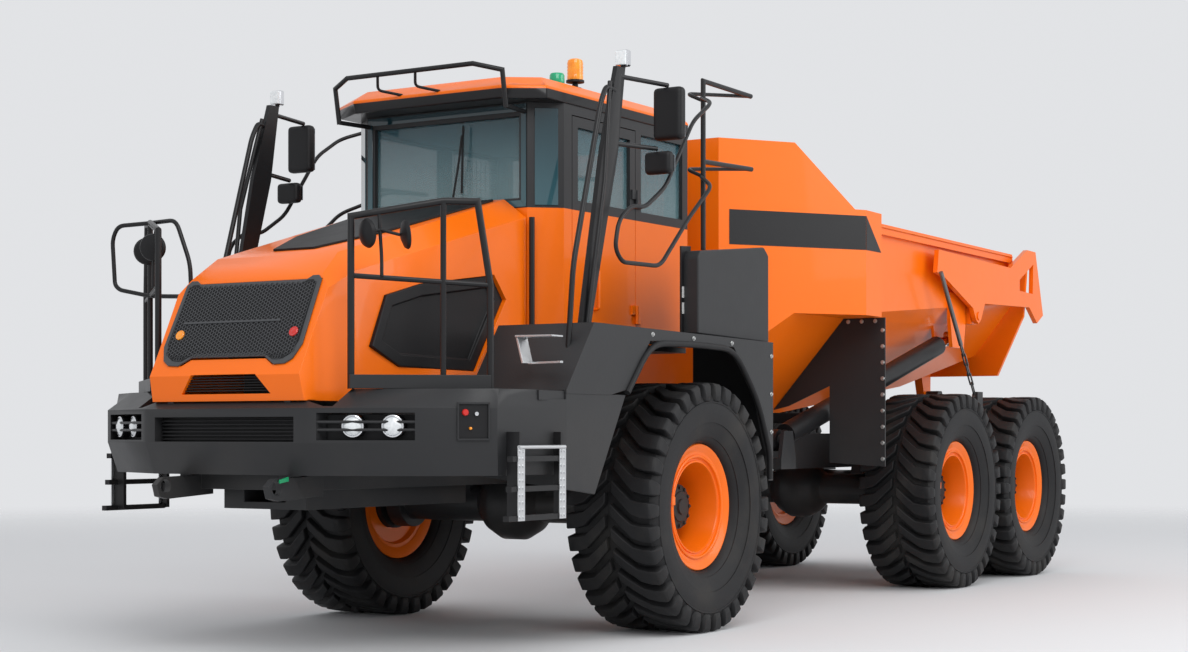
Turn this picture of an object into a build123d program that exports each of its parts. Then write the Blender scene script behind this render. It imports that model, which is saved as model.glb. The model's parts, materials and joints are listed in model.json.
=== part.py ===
"""Articulated dump truck, every piece at its own place and size.

Millimetres. +X is forward, +Y is the truck's left, +Z is up and the ground is Z 0.
Lengths along the truck are measured from the front axle.
"""
import math
import os

from build123d import *

os.makedirs("parts", exist_ok=True)

# Layout of the whole truck
front_axle_x = 1936.5
mid_axle_x = -4271
rear_axle_x = -5926
axle_height = 780
seat_gap = 0.3
running_gap = 5

# Tyres and rims
tyre_outer_y = 1480
tyre_inner_y = 880
tyre_lugs = 33
lug_share = 0.7
groove_depth = 50
shoulder_radius = 665
bulge_radius = 440
bulge_inset = 50
rim_radius = 318
rim_flange_radius = 395
rim_wall = 22
rim_outer_y = 1385
rim_inner_y = 975
wheel_disc_y = 1040
hub_radius = 190
hub_outer_y = 1170
axle_end_y = 1000

# Front frame
rail_outer_y = 400
rail_width = 100
rail_bottom = 930
rail_top = 1180
rail_front = 2600
rail_rear = -560
roll_axis_z = 1060

# Steering hinge and roll ring
hinge_x = -1650
ring_radius = 300
ring_rear = -760
hinge_pin_radius = 70
steer_front_x = -950
steer_front_y = 350
steer_rear_x = -2350
steer_rear_y = 430
steer_z = 880

# Rear frame
rear_rail_outer_y = 400
rear_rail_width = 110
rear_rail_bottom = 960
rear_rail_top = 1240
tip_x = -6350
tip_z = 1550

# Dump body
wall = 30
body_front_x = -1475
body_half_front = 720
body_half_wide = 1400
body_half_rear = 1100
rail_half = body_half_rear + 40
floor_half_front = 450
floor_half_rear = 700
headboard_top = 3330
side_top = 2866
shelf_z = 2105
floor_z = 1400
tail_x = -6440

# Tailgate
arm_outer_y = body_half_rear + 115
arm_thickness = 40
boss_x = -5204
boss_z = 2237
boss_radius = 35
chain_foot = (-5047, 1548)
chain_head = (-4290, 2548)
chain_y = arm_outer_y + 30
chain_radius = 18
chain_pin_radius = 12
chain_eye_radius = 34
chain_eye_sides = 12
link_count = 5
link_length = 120
link_wire = 11

# Hoist cylinders
hoist_low = (-2200, 800, 1190)
hoist_high = (-4950, body_half_rear - 50, 2040)
hoist_barrel_radius = 80
hoist_rod_radius = 45
hoist_ball_radius = 59
hoist_pin_radius = 34
hoist_eye_radius = 80
hoist_eye_half = 40
hoist_head_radius = 62
hoist_head_half = 32
hoist_neck_radius = 36
hoist_neck_length = 120

# Cab
cab_side_y = 790
cab_wall = 60
cab_floor = 1820
cab_waist = 2625
cab_top = 3270
window_top = cab_top - 80
door_thickness = 55
cab_front_x = 800
cab_rear_x = -900
door_front_x = 560
door_rear_x = -210
door_gap = 6


def side(y):
    """Upright plane along the truck; its own x runs forward and its own y runs up."""
    return Plane(origin=(front_axle_x, y, 0), x_dir=(1, 0, 0), z_dir=(0, -1, 0))


def plan(z):
    """Level plane; its own x runs forward and its own y runs left."""
    return Plane(origin=(front_axle_x, 0, z), x_dir=(1, 0, 0), z_dir=(0, 0, 1))


def cross(x):
    """Upright plane across the truck; its own x runs left and its own y runs up."""
    return Plane(origin=(front_axle_x + x, 0, 0), x_dir=(0, 1, 0), z_dir=(1, 0, 0))


def spot(x, y, z):
    """Place measured from the front axle, in the shared frame."""
    return (front_axle_x + x, y, z)


def both_halves(half):
    """Closed outline from its left half, for plan views."""
    return half + [(x, -y) for x, y in reversed(half)]


def both_sides(half):
    """Closed outline from its left half, for views along the truck."""
    return half + [(-y, z) for y, z in reversed(half)]


def box_at(x0, x1, y0, y1, z0, z1, mode=Mode.ADD):
    """Box between two corners."""
    with Locations(spot((x0 + x1) / 2, (y0 + y1) / 2, (z0 + z1) / 2)):
        Box(abs(x1 - x0), abs(y1 - y0), abs(z1 - z0), mode=mode)


def plate(points, y0, y1, mode=Mode.ADD):
    """Plate drawn in side view between two side planes."""
    with BuildSketch(side(y1)) as outline:
        Polygon(*points, align=None)
    extrude(outline.sketch, amount=y1 - y0, mode=mode)


def slab(points, z0, z1, mode=Mode.ADD):
    """Slab drawn in plan view between two levels."""
    with BuildSketch(plan(z0)) as outline:
        Polygon(*points, align=None)
    extrude(outline.sketch, amount=z1 - z0, mode=mode)


def panel(points, x0, x1, mode=Mode.ADD):
    """Panel drawn across the truck between two cross planes."""
    with BuildSketch(cross(x0)) as outline:
        Polygon(*points, align=None)
    extrude(outline.sketch, amount=x1 - x0, mode=mode)


def bar(start, end, radius, mode=Mode.ADD):
    """Round bar between two points given from the front axle."""
    first = Vector(*spot(*start))
    last = Vector(*spot(*end))
    with BuildSketch(Plane(origin=first, z_dir=last - first)) as outline:
        Circle(radius)
    extrude(outline.sketch, amount=(last - first).length, mode=mode)


def tube_run(points, radius):
    """Bent tube through points given from the front axle."""
    places = [spot(*point) for point in points]
    with BuildLine() as run:
        Polyline(*places)
    with BuildSketch(Plane(origin=run.line @ 0, z_dir=run.line % 0)) as outline:
        Circle(radius)
    sweep(outline.sketch, path=run.line, transition=Transition.RIGHT)


def drum(x, z, radius, y0, y1, mode=Mode.ADD):
    """Round boss lying across the truck."""
    with BuildSketch(side(y1)) as outline:
        with Locations((x, z)):
            Circle(radius)
    extrude(outline.sketch, amount=y1 - y0, mode=mode)


def post(x, y, radius, z0, z1, mode=Mode.ADD):
    """Upright round post."""
    with BuildSketch(plan(z0)) as outline:
        with Locations((x, y)):
            Circle(radius)
    extrude(outline.sketch, amount=z1 - z0, mode=mode)


def save(piece, label):
    """Write one finished piece."""
    piece.part.label = label
    export_step(piece.part, f"parts/{label}.step")


# Front frame: two rails, cross members, tow eyes, cab mounts and the roll bearing
with BuildPart() as front_frame:
    box_at(rail_rear, rail_front, rail_outer_y - rail_width, rail_outer_y, rail_bottom, rail_top)
    box_at(1000, 2500, 150, 300, 820, rail_bottom + 40)
    box_at(540, 640, 300, 400, rail_top, 1784)
    box_at(-540, -440, 300, 400, rail_top, 1784)
    box_at(1900, 2040, 395, 1300, 1100, 1320)
    box_at(1900, 2040, 1290, 1357.8, 1200, 1320)
    plate([(2500, 930), (2500, 1100), (2640, 1008), (2900, 1000), (2950, 960), (2930, 895), (2860, 880), (2500, 900)], 380, 420)
    drum(2880, 950, 38, 370, 430, mode=Mode.SUBTRACT)
    mirror(about=Plane.XZ)
    for member_front in (2600, 1500, -460):
        box_at(member_front - 100, member_front, -310, 310, rail_bottom, rail_top)
    box_at(1000, 2500, -160, 160, 820, 860)
    with BuildSketch(cross(rail_rear)):
        with Locations((0, roll_axis_z)):
            Rectangle(800, 560)
    extrude(amount=60)
save(front_frame, "front_frame")

# Half of an axle housing: distance from the truck's middle, radius
housing_half = [(0, 240), (70, 240), (165, 190), (230, 125), (axle_end_y, 125)]


def axle_housing(axle_x):
    """Axle tube with the wider housing of the differential in the middle."""
    with BuildSketch(cross(axle_x)) as profile:
        half = [(y, axle_height + radius) for y, radius in housing_half]
        other_half = [(-y, z) for y, z in reversed(half)]
        Polygon(*other_half, *half, (axle_end_y, axle_height), (-axle_end_y, axle_height), align=None)
    revolve(profile.sketch, axis=Axis(spot(axle_x, 0, axle_height), (0, 1, 0)))


# Front axle: housing with the differential and the two spring seats
with BuildPart() as front_axle:
    axle_housing(0)
    for seat_y in (-350, 350):
        box_at(-110, 110, seat_y - 50, seat_y + 50, axle_height, rail_bottom - seat_gap)
    for knuckle_y in (-900, 900):
        drum(0, axle_height, 175, knuckle_y - 60, knuckle_y + 60)
save(front_axle, "front_axle")

# Rear axles: two housings alike, each with its differential
with BuildPart() as rear_axles:
    for axle_x in (mid_axle_x, rear_axle_x):
        axle_housing(axle_x)
save(rear_axles, "rear_axles")

# Rocking beams between the two rear axles, with the centre pin block
bogie_x = (mid_axle_x + rear_axle_x) / 2
with BuildPart() as bogie_beams:
    for sign in (-1, 1):
        low_y = min(sign * 520, sign * 640)
        high_y = max(sign * 520, sign * 640)
        plate(
            [
                (rear_axle_x - 150, 905 + seat_gap),
                (mid_axle_x + 150, 905 + seat_gap),
                (mid_axle_x + 120, 1010),
                (bogie_x + 220, 1080),
                (bogie_x - 220, 1080),
                (rear_axle_x - 120, 1010),
            ],
            low_y,
            high_y,
        )
save(bogie_beams, "bogie_beams")

# Wheels: name, axle place and side of each
wheels = [
    ("front_left", 0, 1),
    ("front_right", 0, -1),
    ("middle_left", mid_axle_x, 1),
    ("middle_right", mid_axle_x, -1),
    ("rear_left", rear_axle_x, 1),
    ("rear_right", rear_axle_x, -1),
]
lug_turn = 360 / tyre_lugs
half_lug = lug_turn * lug_share / 2
lug_tip_radius = Vector(axle_height, axle_height * math.tan(math.radians(half_lug))).length
groove_radius = axle_height - groove_depth
tread_outline = []
for lug in range(tyre_lugs):
    lug_middle = lug_turn * lug - 90
    for radius, angle in (
        (lug_tip_radius, lug_middle - half_lug),
        (lug_tip_radius, lug_middle + half_lug),
        (groove_radius, lug_middle + lug_turn / 2),
    ):
        point = Vector(radius, 0).rotate(Axis.Z, angle)
        tread_outline.append((point.X, point.Y))

# Hollow in each side of a tyre: depth from the side face, radius
bead_inset = tyre_outer_y - rim_outer_y + 31
bead_radius = rim_flange_radius + 5
outer_side = [(0, shoulder_radius), (bulge_inset, bulge_radius), (bead_inset, bead_radius)]
inner_side = [(0, shoulder_radius), (bead_inset, bead_radius)]
rim_profile = [
    (axle_end_y + seat_gap, 0),
    (hub_outer_y, 0),
    (hub_outer_y, hub_radius - 40),
    (hub_outer_y - 60, hub_radius),
    (wheel_disc_y + 25, hub_radius),
    (wheel_disc_y + 25, rim_radius - rim_wall),
    (rim_outer_y - 60, rim_radius - rim_wall),
    (rim_outer_y - 20, rim_flange_radius - 30),
    (rim_outer_y - 10, rim_flange_radius),
    (rim_outer_y - 25, rim_flange_radius),
    (rim_outer_y - 30, rim_radius),
    (rim_inner_y + 30, rim_radius),
    (rim_inner_y + 20, rim_flange_radius),
    (rim_inner_y, rim_flange_radius),
    (rim_inner_y + 30, rim_radius - rim_wall),
    (wheel_disc_y, rim_radius - rim_wall),
    (wheel_disc_y, hub_radius),
    (axle_end_y + seat_gap, hub_radius),
]
for wheel_name, wheel_x, wheel_side in wheels:
    spin_axis = Axis(spot(wheel_x, 0, axle_height), (0, 1, 0))
    with BuildPart() as tyre:
        with BuildSketch(side(wheel_side * tyre_outer_y)):
            with Locations((wheel_x, axle_height)):
                Polygon(*tread_outline, align=None)
                RegularPolygon(rim_radius + seat_gap, tyre_lugs, major_radius=False, mode=Mode.SUBTRACT)
        extrude(amount=wheel_side * (tyre_outer_y - tyre_inner_y))
        for face_y, inward, stations in ((tyre_outer_y, -1, outer_side), (tyre_inner_y, 1, inner_side)):
            with BuildPart(mode=Mode.PRIVATE) as hollow:
                for inset, radius in stations:
                    with BuildSketch(side(wheel_side * (face_y + inward * inset))):
                        with Locations((wheel_x, axle_height)):
                            RegularPolygon(radius, tyre_lugs)
                loft(ruled=True)
            add(hollow.part, mode=Mode.SUBTRACT)
    save(tyre, f"tyre_{wheel_name}")
    with BuildPart() as rim:
        with BuildSketch(cross(wheel_x)):
            Polygon(*[(wheel_side * y, axle_height + r) for y, r in rim_profile], align=None)
        revolve(axis=spin_axis)
    save(rim, f"rim_{wheel_name}")

# Bumper: folded front with wings, side panels, the walkway and the rods before the lamps
lamp_rod_radius = 8
bumper_low = [(2758, 586), (2480, 1150), (2230, 1390), (1650, 1440)]
bumper_mid = [(2843, 570), (2560, 1150), (2250, 1400), (1650, 1450)]
bumper_deck = [(2690, 500), (2420, 1100), (2230, 1394), (1650, 1450)]
inner_low = [(2690, 545), (2420, 1100), (2190, 1330), (1640, 1390)]
inner_mid = [(2775, 530), (2500, 1100), (2205, 1345), (1640, 1390)]
inner_deck = [(2640, 460), (2370, 1055), (2185, 1342), (1640, 1390)]
with BuildPart() as bumper:
    for level, half in ((1016, bumper_low), (1190, bumper_mid), (1376, bumper_mid), (1480, bumper_deck)):
        with BuildSketch(plan(level)):
            Polygon(*both_halves(half), align=None)
    loft(ruled=True)
with BuildPart() as bumper_hollow:
    for level, half in ((1015, inner_low), (1190, inner_mid), (1330, inner_mid), (1440, inner_deck)):
        with BuildSketch(plan(level)):
            Polygon(*both_halves(half), align=None)
    loft(ruled=True)
with bumper:
    add(bumper_hollow.part, mode=Mode.SUBTRACT)
    box_at(1600, 2785, -700, 700, 1385, 1500, mode=Mode.SUBTRACT)
    box_at(2600, 2900, -500, 500, 1196, 1330, mode=Mode.SUBTRACT)
    for sign in (-1, 1):
        slab(
            [(2480, sign * 630), (2950, sign * 630), (2700, sign * 1105), (2420, sign * 1105)],
            1205,
            1350,
            mode=Mode.SUBTRACT,
        )
        box_at(1600, 1900, sign * 1000, sign * 1500, 1430, 1500, mode=Mode.SUBTRACT)
        box_at(2776, 2799, min(sign * 400, sign * 440), max(sign * 400, sign * 440), 1370, 1416 - seat_gap)
        for rod_z in (1260, 1302):
            bar((2805, sign * 618, rod_z), (2562, sign * 1116, rod_z), lamp_rod_radius)
save(bumper, "bumper")

# Slatted grille behind the centre of the bumper
slat_count = 6
slat_pitch = 20
with BuildPart() as bumper_grille:
    box_at(2725, 2775 - seat_gap, -520, 520, 1192, 1328)
    for slat in range(slat_count):
        slat_bottom = 1206 + slat_pitch * slat
        box_at(2770, 2800, -490, 490, slat_bottom, slat_bottom + 8)
save(bumper_grille, "bumper_grille")

# Headlamps: two round lamps a side on a backing plate
with BuildPart() as headlamps:
    for sign in (-1, 1):
        slab(
            [
                (2685, sign * 600),
                (2725, sign * 600),
                (2493, sign * 1085),
                (2455, sign * 1085),
            ],
            1195,
            1340,
        )
        for lamp_x, lamp_y in ((2640, 760), (2550, 955)):
            lamp_plane = Plane(
                origin=spot(lamp_x, sign * lamp_y, 1280), z_dir=(0.905, sign * 0.425, 0)
            )
            with BuildSketch(lamp_plane):
                Circle(62)
            extrude(amount=70)
save(headlamps, "headlamps")

# Walkway kick plates beside the hood and their handrails
with BuildPart() as kick_plates:
    slab([(2640, 712), (2650, 724), (2160, 1298), (2150, 1286)], 1480 + seat_gap, 1555)
    mirror(about=Plane.XZ)
save(kick_plates, "kick_plates")

# Handrails on the walkway, standing behind the kick plates
with BuildPart() as front_handrails:
    tube_run([(2610, 700, 1480 + seat_gap), (2610, 700, 2400), (2290, 1075, 2490), (2170, 1215, 2490), (2125, 1268, 2040), (2125, 1268, 1480 + seat_gap)], 19)
    bar((2290, 1075, 1480 + seat_gap), (2290, 1075, 2480), 16)
    bar((2600, 712, 2083), (2125, 1268, 2040), 14)
    mirror(about=Plane.XZ)
save(front_handrails, "front_handrails")

# Ladder hung from each bumper side panel
with BuildPart() as ladders:
    for rung_front, rung_z in ((2237, 1120), (2250, 960), (2275, 804)):
        box_at(rung_front - 500, rung_front, 1452, 1490, rung_z - 30, rung_z)
    for stile_x, stile_y in ((1745, 1442.4), (2150, 1408.7)):
        box_at(stile_x, stile_x + 25, stile_y, 1490, 780, 1250)
    mirror(about=Plane.XZ)
save(ladders, "ladders")

# Engine as one plain block on the front rails
with BuildPart() as engine_block:
    box_at(1000, 2250, -380, 380, rail_top + seat_gap, 2050)
save(engine_block, "engine_block")

# Hood: folded shell open below and behind, hinged at its front foot
with BuildPart() as hood:
    for station, half in (
        (830, [(630, 1480), (630, 2560), (470, 2680)]),
        (2400, [(565, 1416), (565, 2130), (440, 2238)]),
        (2860, [(545, 1416), (520, 1900), (400, 2020)]),
    ):
        with BuildSketch(cross(station)):
            Polygon(*both_sides(half), align=None)
    loft(ruled=True)
with BuildPart() as hood_hollow:
    for station, half in (
        (800, [(600, 1400), (600, 2535), (455, 2650)]),
        (2360, [(535, 1300), (535, 2110), (425, 2208)]),
        (2830, [(515, 1300), (490, 1880), (390, 1990)]),
    ):
        with BuildSketch(cross(station)):
            Polygon(*both_sides(half), align=None)
    loft(ruled=True)
    plate([(2755, 1200), (2813, 1556), (2545, 2060), (2360, 2200), (2600, 2400), (3000, 2300), (3000, 1200)], -700, 700, mode=Mode.SUBTRACT)
recess = [(2160, 2010), (2290, 1720), (2040, 1615), (1330, 1606), (1030, 2045), (1150, 2188), (1850, 2092)]
with hood:
    plate([(2785, 1300), (2843, 1556), (2570, 2110), (2400, 2238), (2600, 2500), (3000, 2500), (3000, 1300)], -700, 700, mode=Mode.SUBTRACT)
    plate([(700, 1300), (1000, 1300), (960, 1500), (820, 1890), (700, 1890)], -700, 700, mode=Mode.SUBTRACT)
    for station_x in (2785,):
        slab([(2785, 700), (2785, 500), (2700, 566), (2700, 700)], 1300, 1420, mode=Mode.SUBTRACT)
    add(hood_hollow.part, mode=Mode.SUBTRACT)
    plate(recess, -700, 700, mode=Mode.SUBTRACT)
    panel(
        [(-485, 2080), (485, 2080), (440, 1660), (330, 1610), (270, 1645), (-270, 1645), (-330, 1610), (-440, 1660)],
        2450,
        2900,
        mode=Mode.SUBTRACT,
    )
    panel([(-230, 1560), (230, 1560), (320, 1455), (-320, 1455)], 2700, 2900, mode=Mode.SUBTRACT)
save(hood, "hood")

# Mesh panel behind the hood's front opening
with BuildPart() as hood_grille:
    plate(
        [(2796.8, 1460), (2812.4, 1556), (2555.1, 2040), (2530, 2028), (2787, 1550), (2772, 1462)],
        -485,
        485,
    )
    plate([(2612, 1917), (2642, 1932), (2626, 1962), (2596, 1947)], -455, 455)
save(hood_grille, "hood_grille")

# Dark inserts that close the recesses in the hood's sides
with BuildPart() as hood_recesses:
    plate(recess, 545, 575)
    with BuildSketch(side(595)):
        Polygon(*recess, align=None)
        offset(amount=-70, mode=Mode.SUBTRACT)
    extrude(amount=30)
    mirror(about=Plane.XZ)
save(hood_recesses, "hood_recesses")

# Dark top panel lying on the hood in front of the windscreen
with BuildPart() as hood_top_panel:
    with BuildSketch(Plane(origin=spot(830, 0, 2680 + seat_gap), x_dir=(1570, 0, -442), z_dir=(442, 0, 1570))):
        Polygon((60, -430), (60, 430), (1050, 330), (1480, 150), (1480, -150), (1050, -330), align=None)
    extrude(amount=14)
save(hood_top_panel, "hood_top_panel")

# Deck under the cab
with BuildPart() as cab_deck:
    slab(both_halves([(760, 600), (640, cab_side_y), (-880, cab_side_y)]), 1784 + seat_gap, cab_floor - seat_gap)
save(cab_deck, "cab_deck")

# Door hinge: knuckles on one upright axis, each on its own leaf
door_hinge_x = -207
door_hinge_y = cab_side_y + 13


def hinge_half(leaf_end_x, bottom):
    """One knuckle and its leaf on the outer face of the cab side or the door."""
    post(door_hinge_x, door_hinge_y, 12, bottom, bottom + 60)
    leaf_low = min(door_hinge_x, leaf_end_x)
    leaf_high = max(door_hinge_x, leaf_end_x)
    box_at(leaf_low, leaf_high, cab_side_y - 1, door_hinge_y, bottom, bottom + 60)


# Cab shell: orange lower panels and the dark upper frame, one outline in plan
cab_plan = [(cab_front_x, 620), (650, cab_side_y), (cab_rear_x, cab_side_y)]
cab_inside = [(cab_front_x - 60, 590), (620, cab_side_y - cab_wall), (cab_rear_x + 60, cab_side_y - cab_wall)]
with BuildPart() as cab_lower:
    slab(both_halves(cab_plan), cab_floor, cab_waist)
    slab(both_halves(cab_inside), cab_floor + 40, cab_waist + 10, mode=Mode.SUBTRACT)
    box_at(door_rear_x, door_front_x, 700, 900, cab_floor + 40, cab_waist + 10, mode=Mode.SUBTRACT)
    hinge_half(door_hinge_x - 55, cab_floor + 130)
save(cab_lower, "cab_lower")
with BuildPart() as cab_frame:
    slab(both_halves(cab_plan), cab_waist + seat_gap, cab_top)
    slab(both_halves(cab_inside), cab_waist - 10, cab_top - cab_wall, mode=Mode.SUBTRACT)
    box_at(door_rear_x, door_front_x, 700, 900, cab_waist - 10, cab_top - cab_wall, mode=Mode.SUBTRACT)
    box_at(700, 900, -560, 560, cab_waist + 60, window_top, mode=Mode.SUBTRACT)
    box_at(cab_rear_x + 70, door_rear_x - 70, -900, 900, cab_waist + 60, window_top, mode=Mode.SUBTRACT)
    box_at(door_rear_x + 30, door_front_x - 30, -900, -600, cab_waist + 60, window_top, mode=Mode.SUBTRACT)
    box_at(cab_rear_x - 50, cab_rear_x + 90, -640, 640, cab_waist + 60, window_top, mode=Mode.SUBTRACT)
    hinge_half(door_hinge_x - 55, cab_waist + 75)
save(cab_frame, "cab_frame")

# Glass panes set in the upper frame
with BuildPart() as cab_glass:
    box_at(760, 768, -560, 560, cab_waist + 60, window_top)
    for sign in (-1, 1):
        box_at(cab_rear_x + 70, door_rear_x - 70, sign * (cab_side_y - 34), sign * (cab_side_y - 26), cab_waist + 60, window_top)
    box_at(door_rear_x + 30, door_front_x - 30, -(cab_side_y - 26), -(cab_side_y - 34), cab_waist + 60, window_top)
    box_at(cab_rear_x + 26, cab_rear_x + 34, -640, 640, cab_waist + 60, window_top)
save(cab_glass, "cab_glass")

# Left door: orange lower panel, dark upper frame and its pane
with BuildPart() as door_panel:
    box_at(door_rear_x + door_gap, door_front_x - door_gap, cab_side_y - door_thickness, cab_side_y, cab_floor + 60, cab_waist - seat_gap)
    hinge_half(door_hinge_x + 55, cab_floor + 190 + seat_gap)
save(door_panel, "door_panel")
with BuildPart() as door_frame:
    box_at(door_rear_x + door_gap, door_front_x - door_gap, cab_side_y - door_thickness, cab_side_y, cab_waist, cab_top - cab_wall - door_gap)
    box_at(door_rear_x + 70, door_front_x - 70, 700, 900, cab_waist + 60, window_top - 50, mode=Mode.SUBTRACT)
    hinge_half(door_hinge_x + 55, cab_waist + 135 + seat_gap)
save(door_frame, "door_frame")
with BuildPart() as door_glass:
    box_at(door_rear_x + 70, door_front_x - 70, cab_side_y - 32, cab_side_y - 24, cab_waist + 60, window_top - 50)
save(door_glass, "door_glass")

# Roof with its front visor
with BuildPart() as cab_roof:
    for level, half in (
        (cab_top + seat_gap, [(1000, 560), (850, 800), (-890, 800)]),
        (3345, [(1020, 560), (860, 805), (-895, 805)]),
        (3415, [(930, 520), (780, 720), (-840, 720)]),
    ):
        with BuildSketch(plan(level)):
            Polygon(*both_halves(half), align=None)
    loft(ruled=True)
save(cab_roof, "cab_roof")

# Operator's seat and the steering column
with BuildPart() as operator_seat:
    box_at(-420, 60, -200, 200, cab_floor + 40 + seat_gap, cab_floor + 300)
    box_at(-440, 80, -260, 260, cab_floor + 300, cab_floor + 440)
    plate([(-440, 2260), (-300, 2260), (-420, 2950), (-540, 2950)], -250, 250)
save(operator_seat, "operator_seat")
with BuildPart() as steering_column:
    box_at(330, 640, -330, 330, cab_floor + 40 + seat_gap, 2480)
    with BuildSketch(Plane(origin=spot(330, 0, 2540), z_dir=(-0.5, 0, 0.87))):
        Circle(215)
        Circle(180, mode=Mode.SUBTRACT)
        Rectangle(380, 40)
    extrude(amount=25)
    bar((420, 0, 2400), (322, 0, 2556), 35)
save(steering_column, "steering_column")

# Lamps and beacon on the roof
with BuildPart() as beacon:
    post(286, 640, 16, 3415 + seat_gap, 3460)
    post(286, 640, 60, 3460, 3475)
    post(286, 640, 50, 3475, 3610)
    post(497, 640, 48, 3415 + seat_gap, 3490)
save(beacon, "beacon")

# Front fenders: bent top plate with a skirt round the arch
with BuildPart() as fenders:
    plate([(-880, 1822), (-880, 1842), (1358, 1872), (1649.7, 1482), (1620, 1472), (1348, 1850)], cab_side_y + seat_gap, 1450)
    plate(
        [
            (-880, 1830),
            (1358, 1860),
            (1649.7, 1476),
            (1649.7, 1462),
            (1181, 1462),
            (999, 1495),
            (728, 1790),
            (190, 1802),
            (-330, 1790),
            (-650, 1456),
            (-815, 1100),
            (-815, 930),
            (-880, 930),
        ],
        1425,
        1450,
    )
    plate([(-850, 1000), (-850, 1830), (-870, 1830), (-870, 1000)], 860, 1430)
    mirror(about=Plane.XZ)
save(fenders, "fenders")

# Side boxes standing on the fenders behind the door
with BuildPart() as side_boxes:
    plate(
        [(-918, 1842), (-918, 2420), (-850, 2472), (21, 2384), (50, 2340), (50, 1862), (-200, 1856)],
        1270,
        1400,
    )
    mirror(about=Plane.XZ)
save(side_boxes, "side_boxes")

# Mirror posts with mirrors, lamp and rear rails
with BuildPart() as mirror_posts:
    plate([(1230, 1873), (1330, 1874), (1100, 2900), (940, 3400), (850, 3400), (930, 2900)], 1320, 1350)
    bar((900, 1335, 3345), (480, 1425, 3345), 14)
    bar((940, 1335, 2944.3), (620, 1430, 2944.3), 14)
    tube_run([(-130, 1335, 2401.2), (-130, 1335, 3470), (-780, 1335, 3465)], 16)
    tube_run([(-130, 1335, 2960), (-790, 1335, 2985)], 16)
    tube_run([(1290, 1360, 1874), (1150, 1390, 2700), (1000, 1335, 3300)], 14)
    mirror(about=Plane.XZ)
save(mirror_posts, "mirror_posts")
with BuildPart() as mirrors:
    with BuildSketch(plan(3010)):
        with Locations((476, 1440)):
            Rectangle(60, 200)
    extrude(amount=320.7)
    box_at(600 - 30, 640, 1350, 1530, 2790, 2930)
    mirror(about=Plane.XZ)
save(mirrors, "mirrors")
with BuildPart() as work_lamps:
    box_at(820, 900, 1290, 1380, 3400 + seat_gap, 3510)
    mirror(about=Plane.XZ)
save(work_lamps, "work_lamps")

# Guard bar over the windscreen
with BuildPart() as roof_guard:
    tube_run(
        [
            (1060, 640, 3200),
            (1100, 640, 3420),
            (1180, 480, 3460),
            (1180, -480, 3460),
            (1100, -640, 3420),
            (1060, -640, 3200),
        ],
        15,
    )
    for sign in (-1, 1):
        bar((cab_front_x + 2.6, sign * 600, 3212), (1060, sign * 640, 3212), 14)
save(roof_guard, "roof_guard")

# Roll ring and steering knuckle between the two frames
knuckle_bottom = 950
knuckle_top = 1290
lug_thickness = 30
eye_half = 45
with BuildPart() as hitch_ring:
    with BuildSketch(cross(ring_rear)):
        with Locations((0, roll_axis_z)):
            Circle(ring_radius)
    extrude(amount=rail_rear - ring_rear - seat_gap)
    slab([(ring_rear, 260), (-1380, 200), (-1380, -200), (ring_rear, -260)], knuckle_bottom, knuckle_top)
    fork = [(-1380, 200), (hinge_x, 130), (hinge_x - 130, 0), (hinge_x, -130), (-1380, -200)]
    slab(fork, knuckle_bottom, knuckle_bottom + 60)
    slab(fork, knuckle_top - 60, knuckle_top)
    post(hinge_x, 0, hinge_pin_radius, knuckle_bottom, knuckle_top)
    for sign in (-1, 1):
        low = min(sign * 180, sign * (steer_front_y + 60))
        high = max(sign * 180, sign * (steer_front_y + 60))
        upper = steer_z + eye_half + running_gap
        lower = steer_z - eye_half - running_gap
        box_at(steer_front_x - 60, steer_front_x + 60, low, high, upper, upper + lug_thickness)
        box_at(steer_front_x - 60, steer_front_x + 60, low, high, lower - lug_thickness, lower)
        web_low = min(sign * 180, sign * 230)
        web_high = max(sign * 180, sign * 230)
        box_at(steer_front_x - 60, steer_front_x + 60, web_low, web_high, lower, knuckle_bottom + 20)
        post(steer_front_x, sign * steer_front_y, 28, lower - lug_thickness, upper + lug_thickness)
save(hitch_ring, "hitch_ring")

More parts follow.
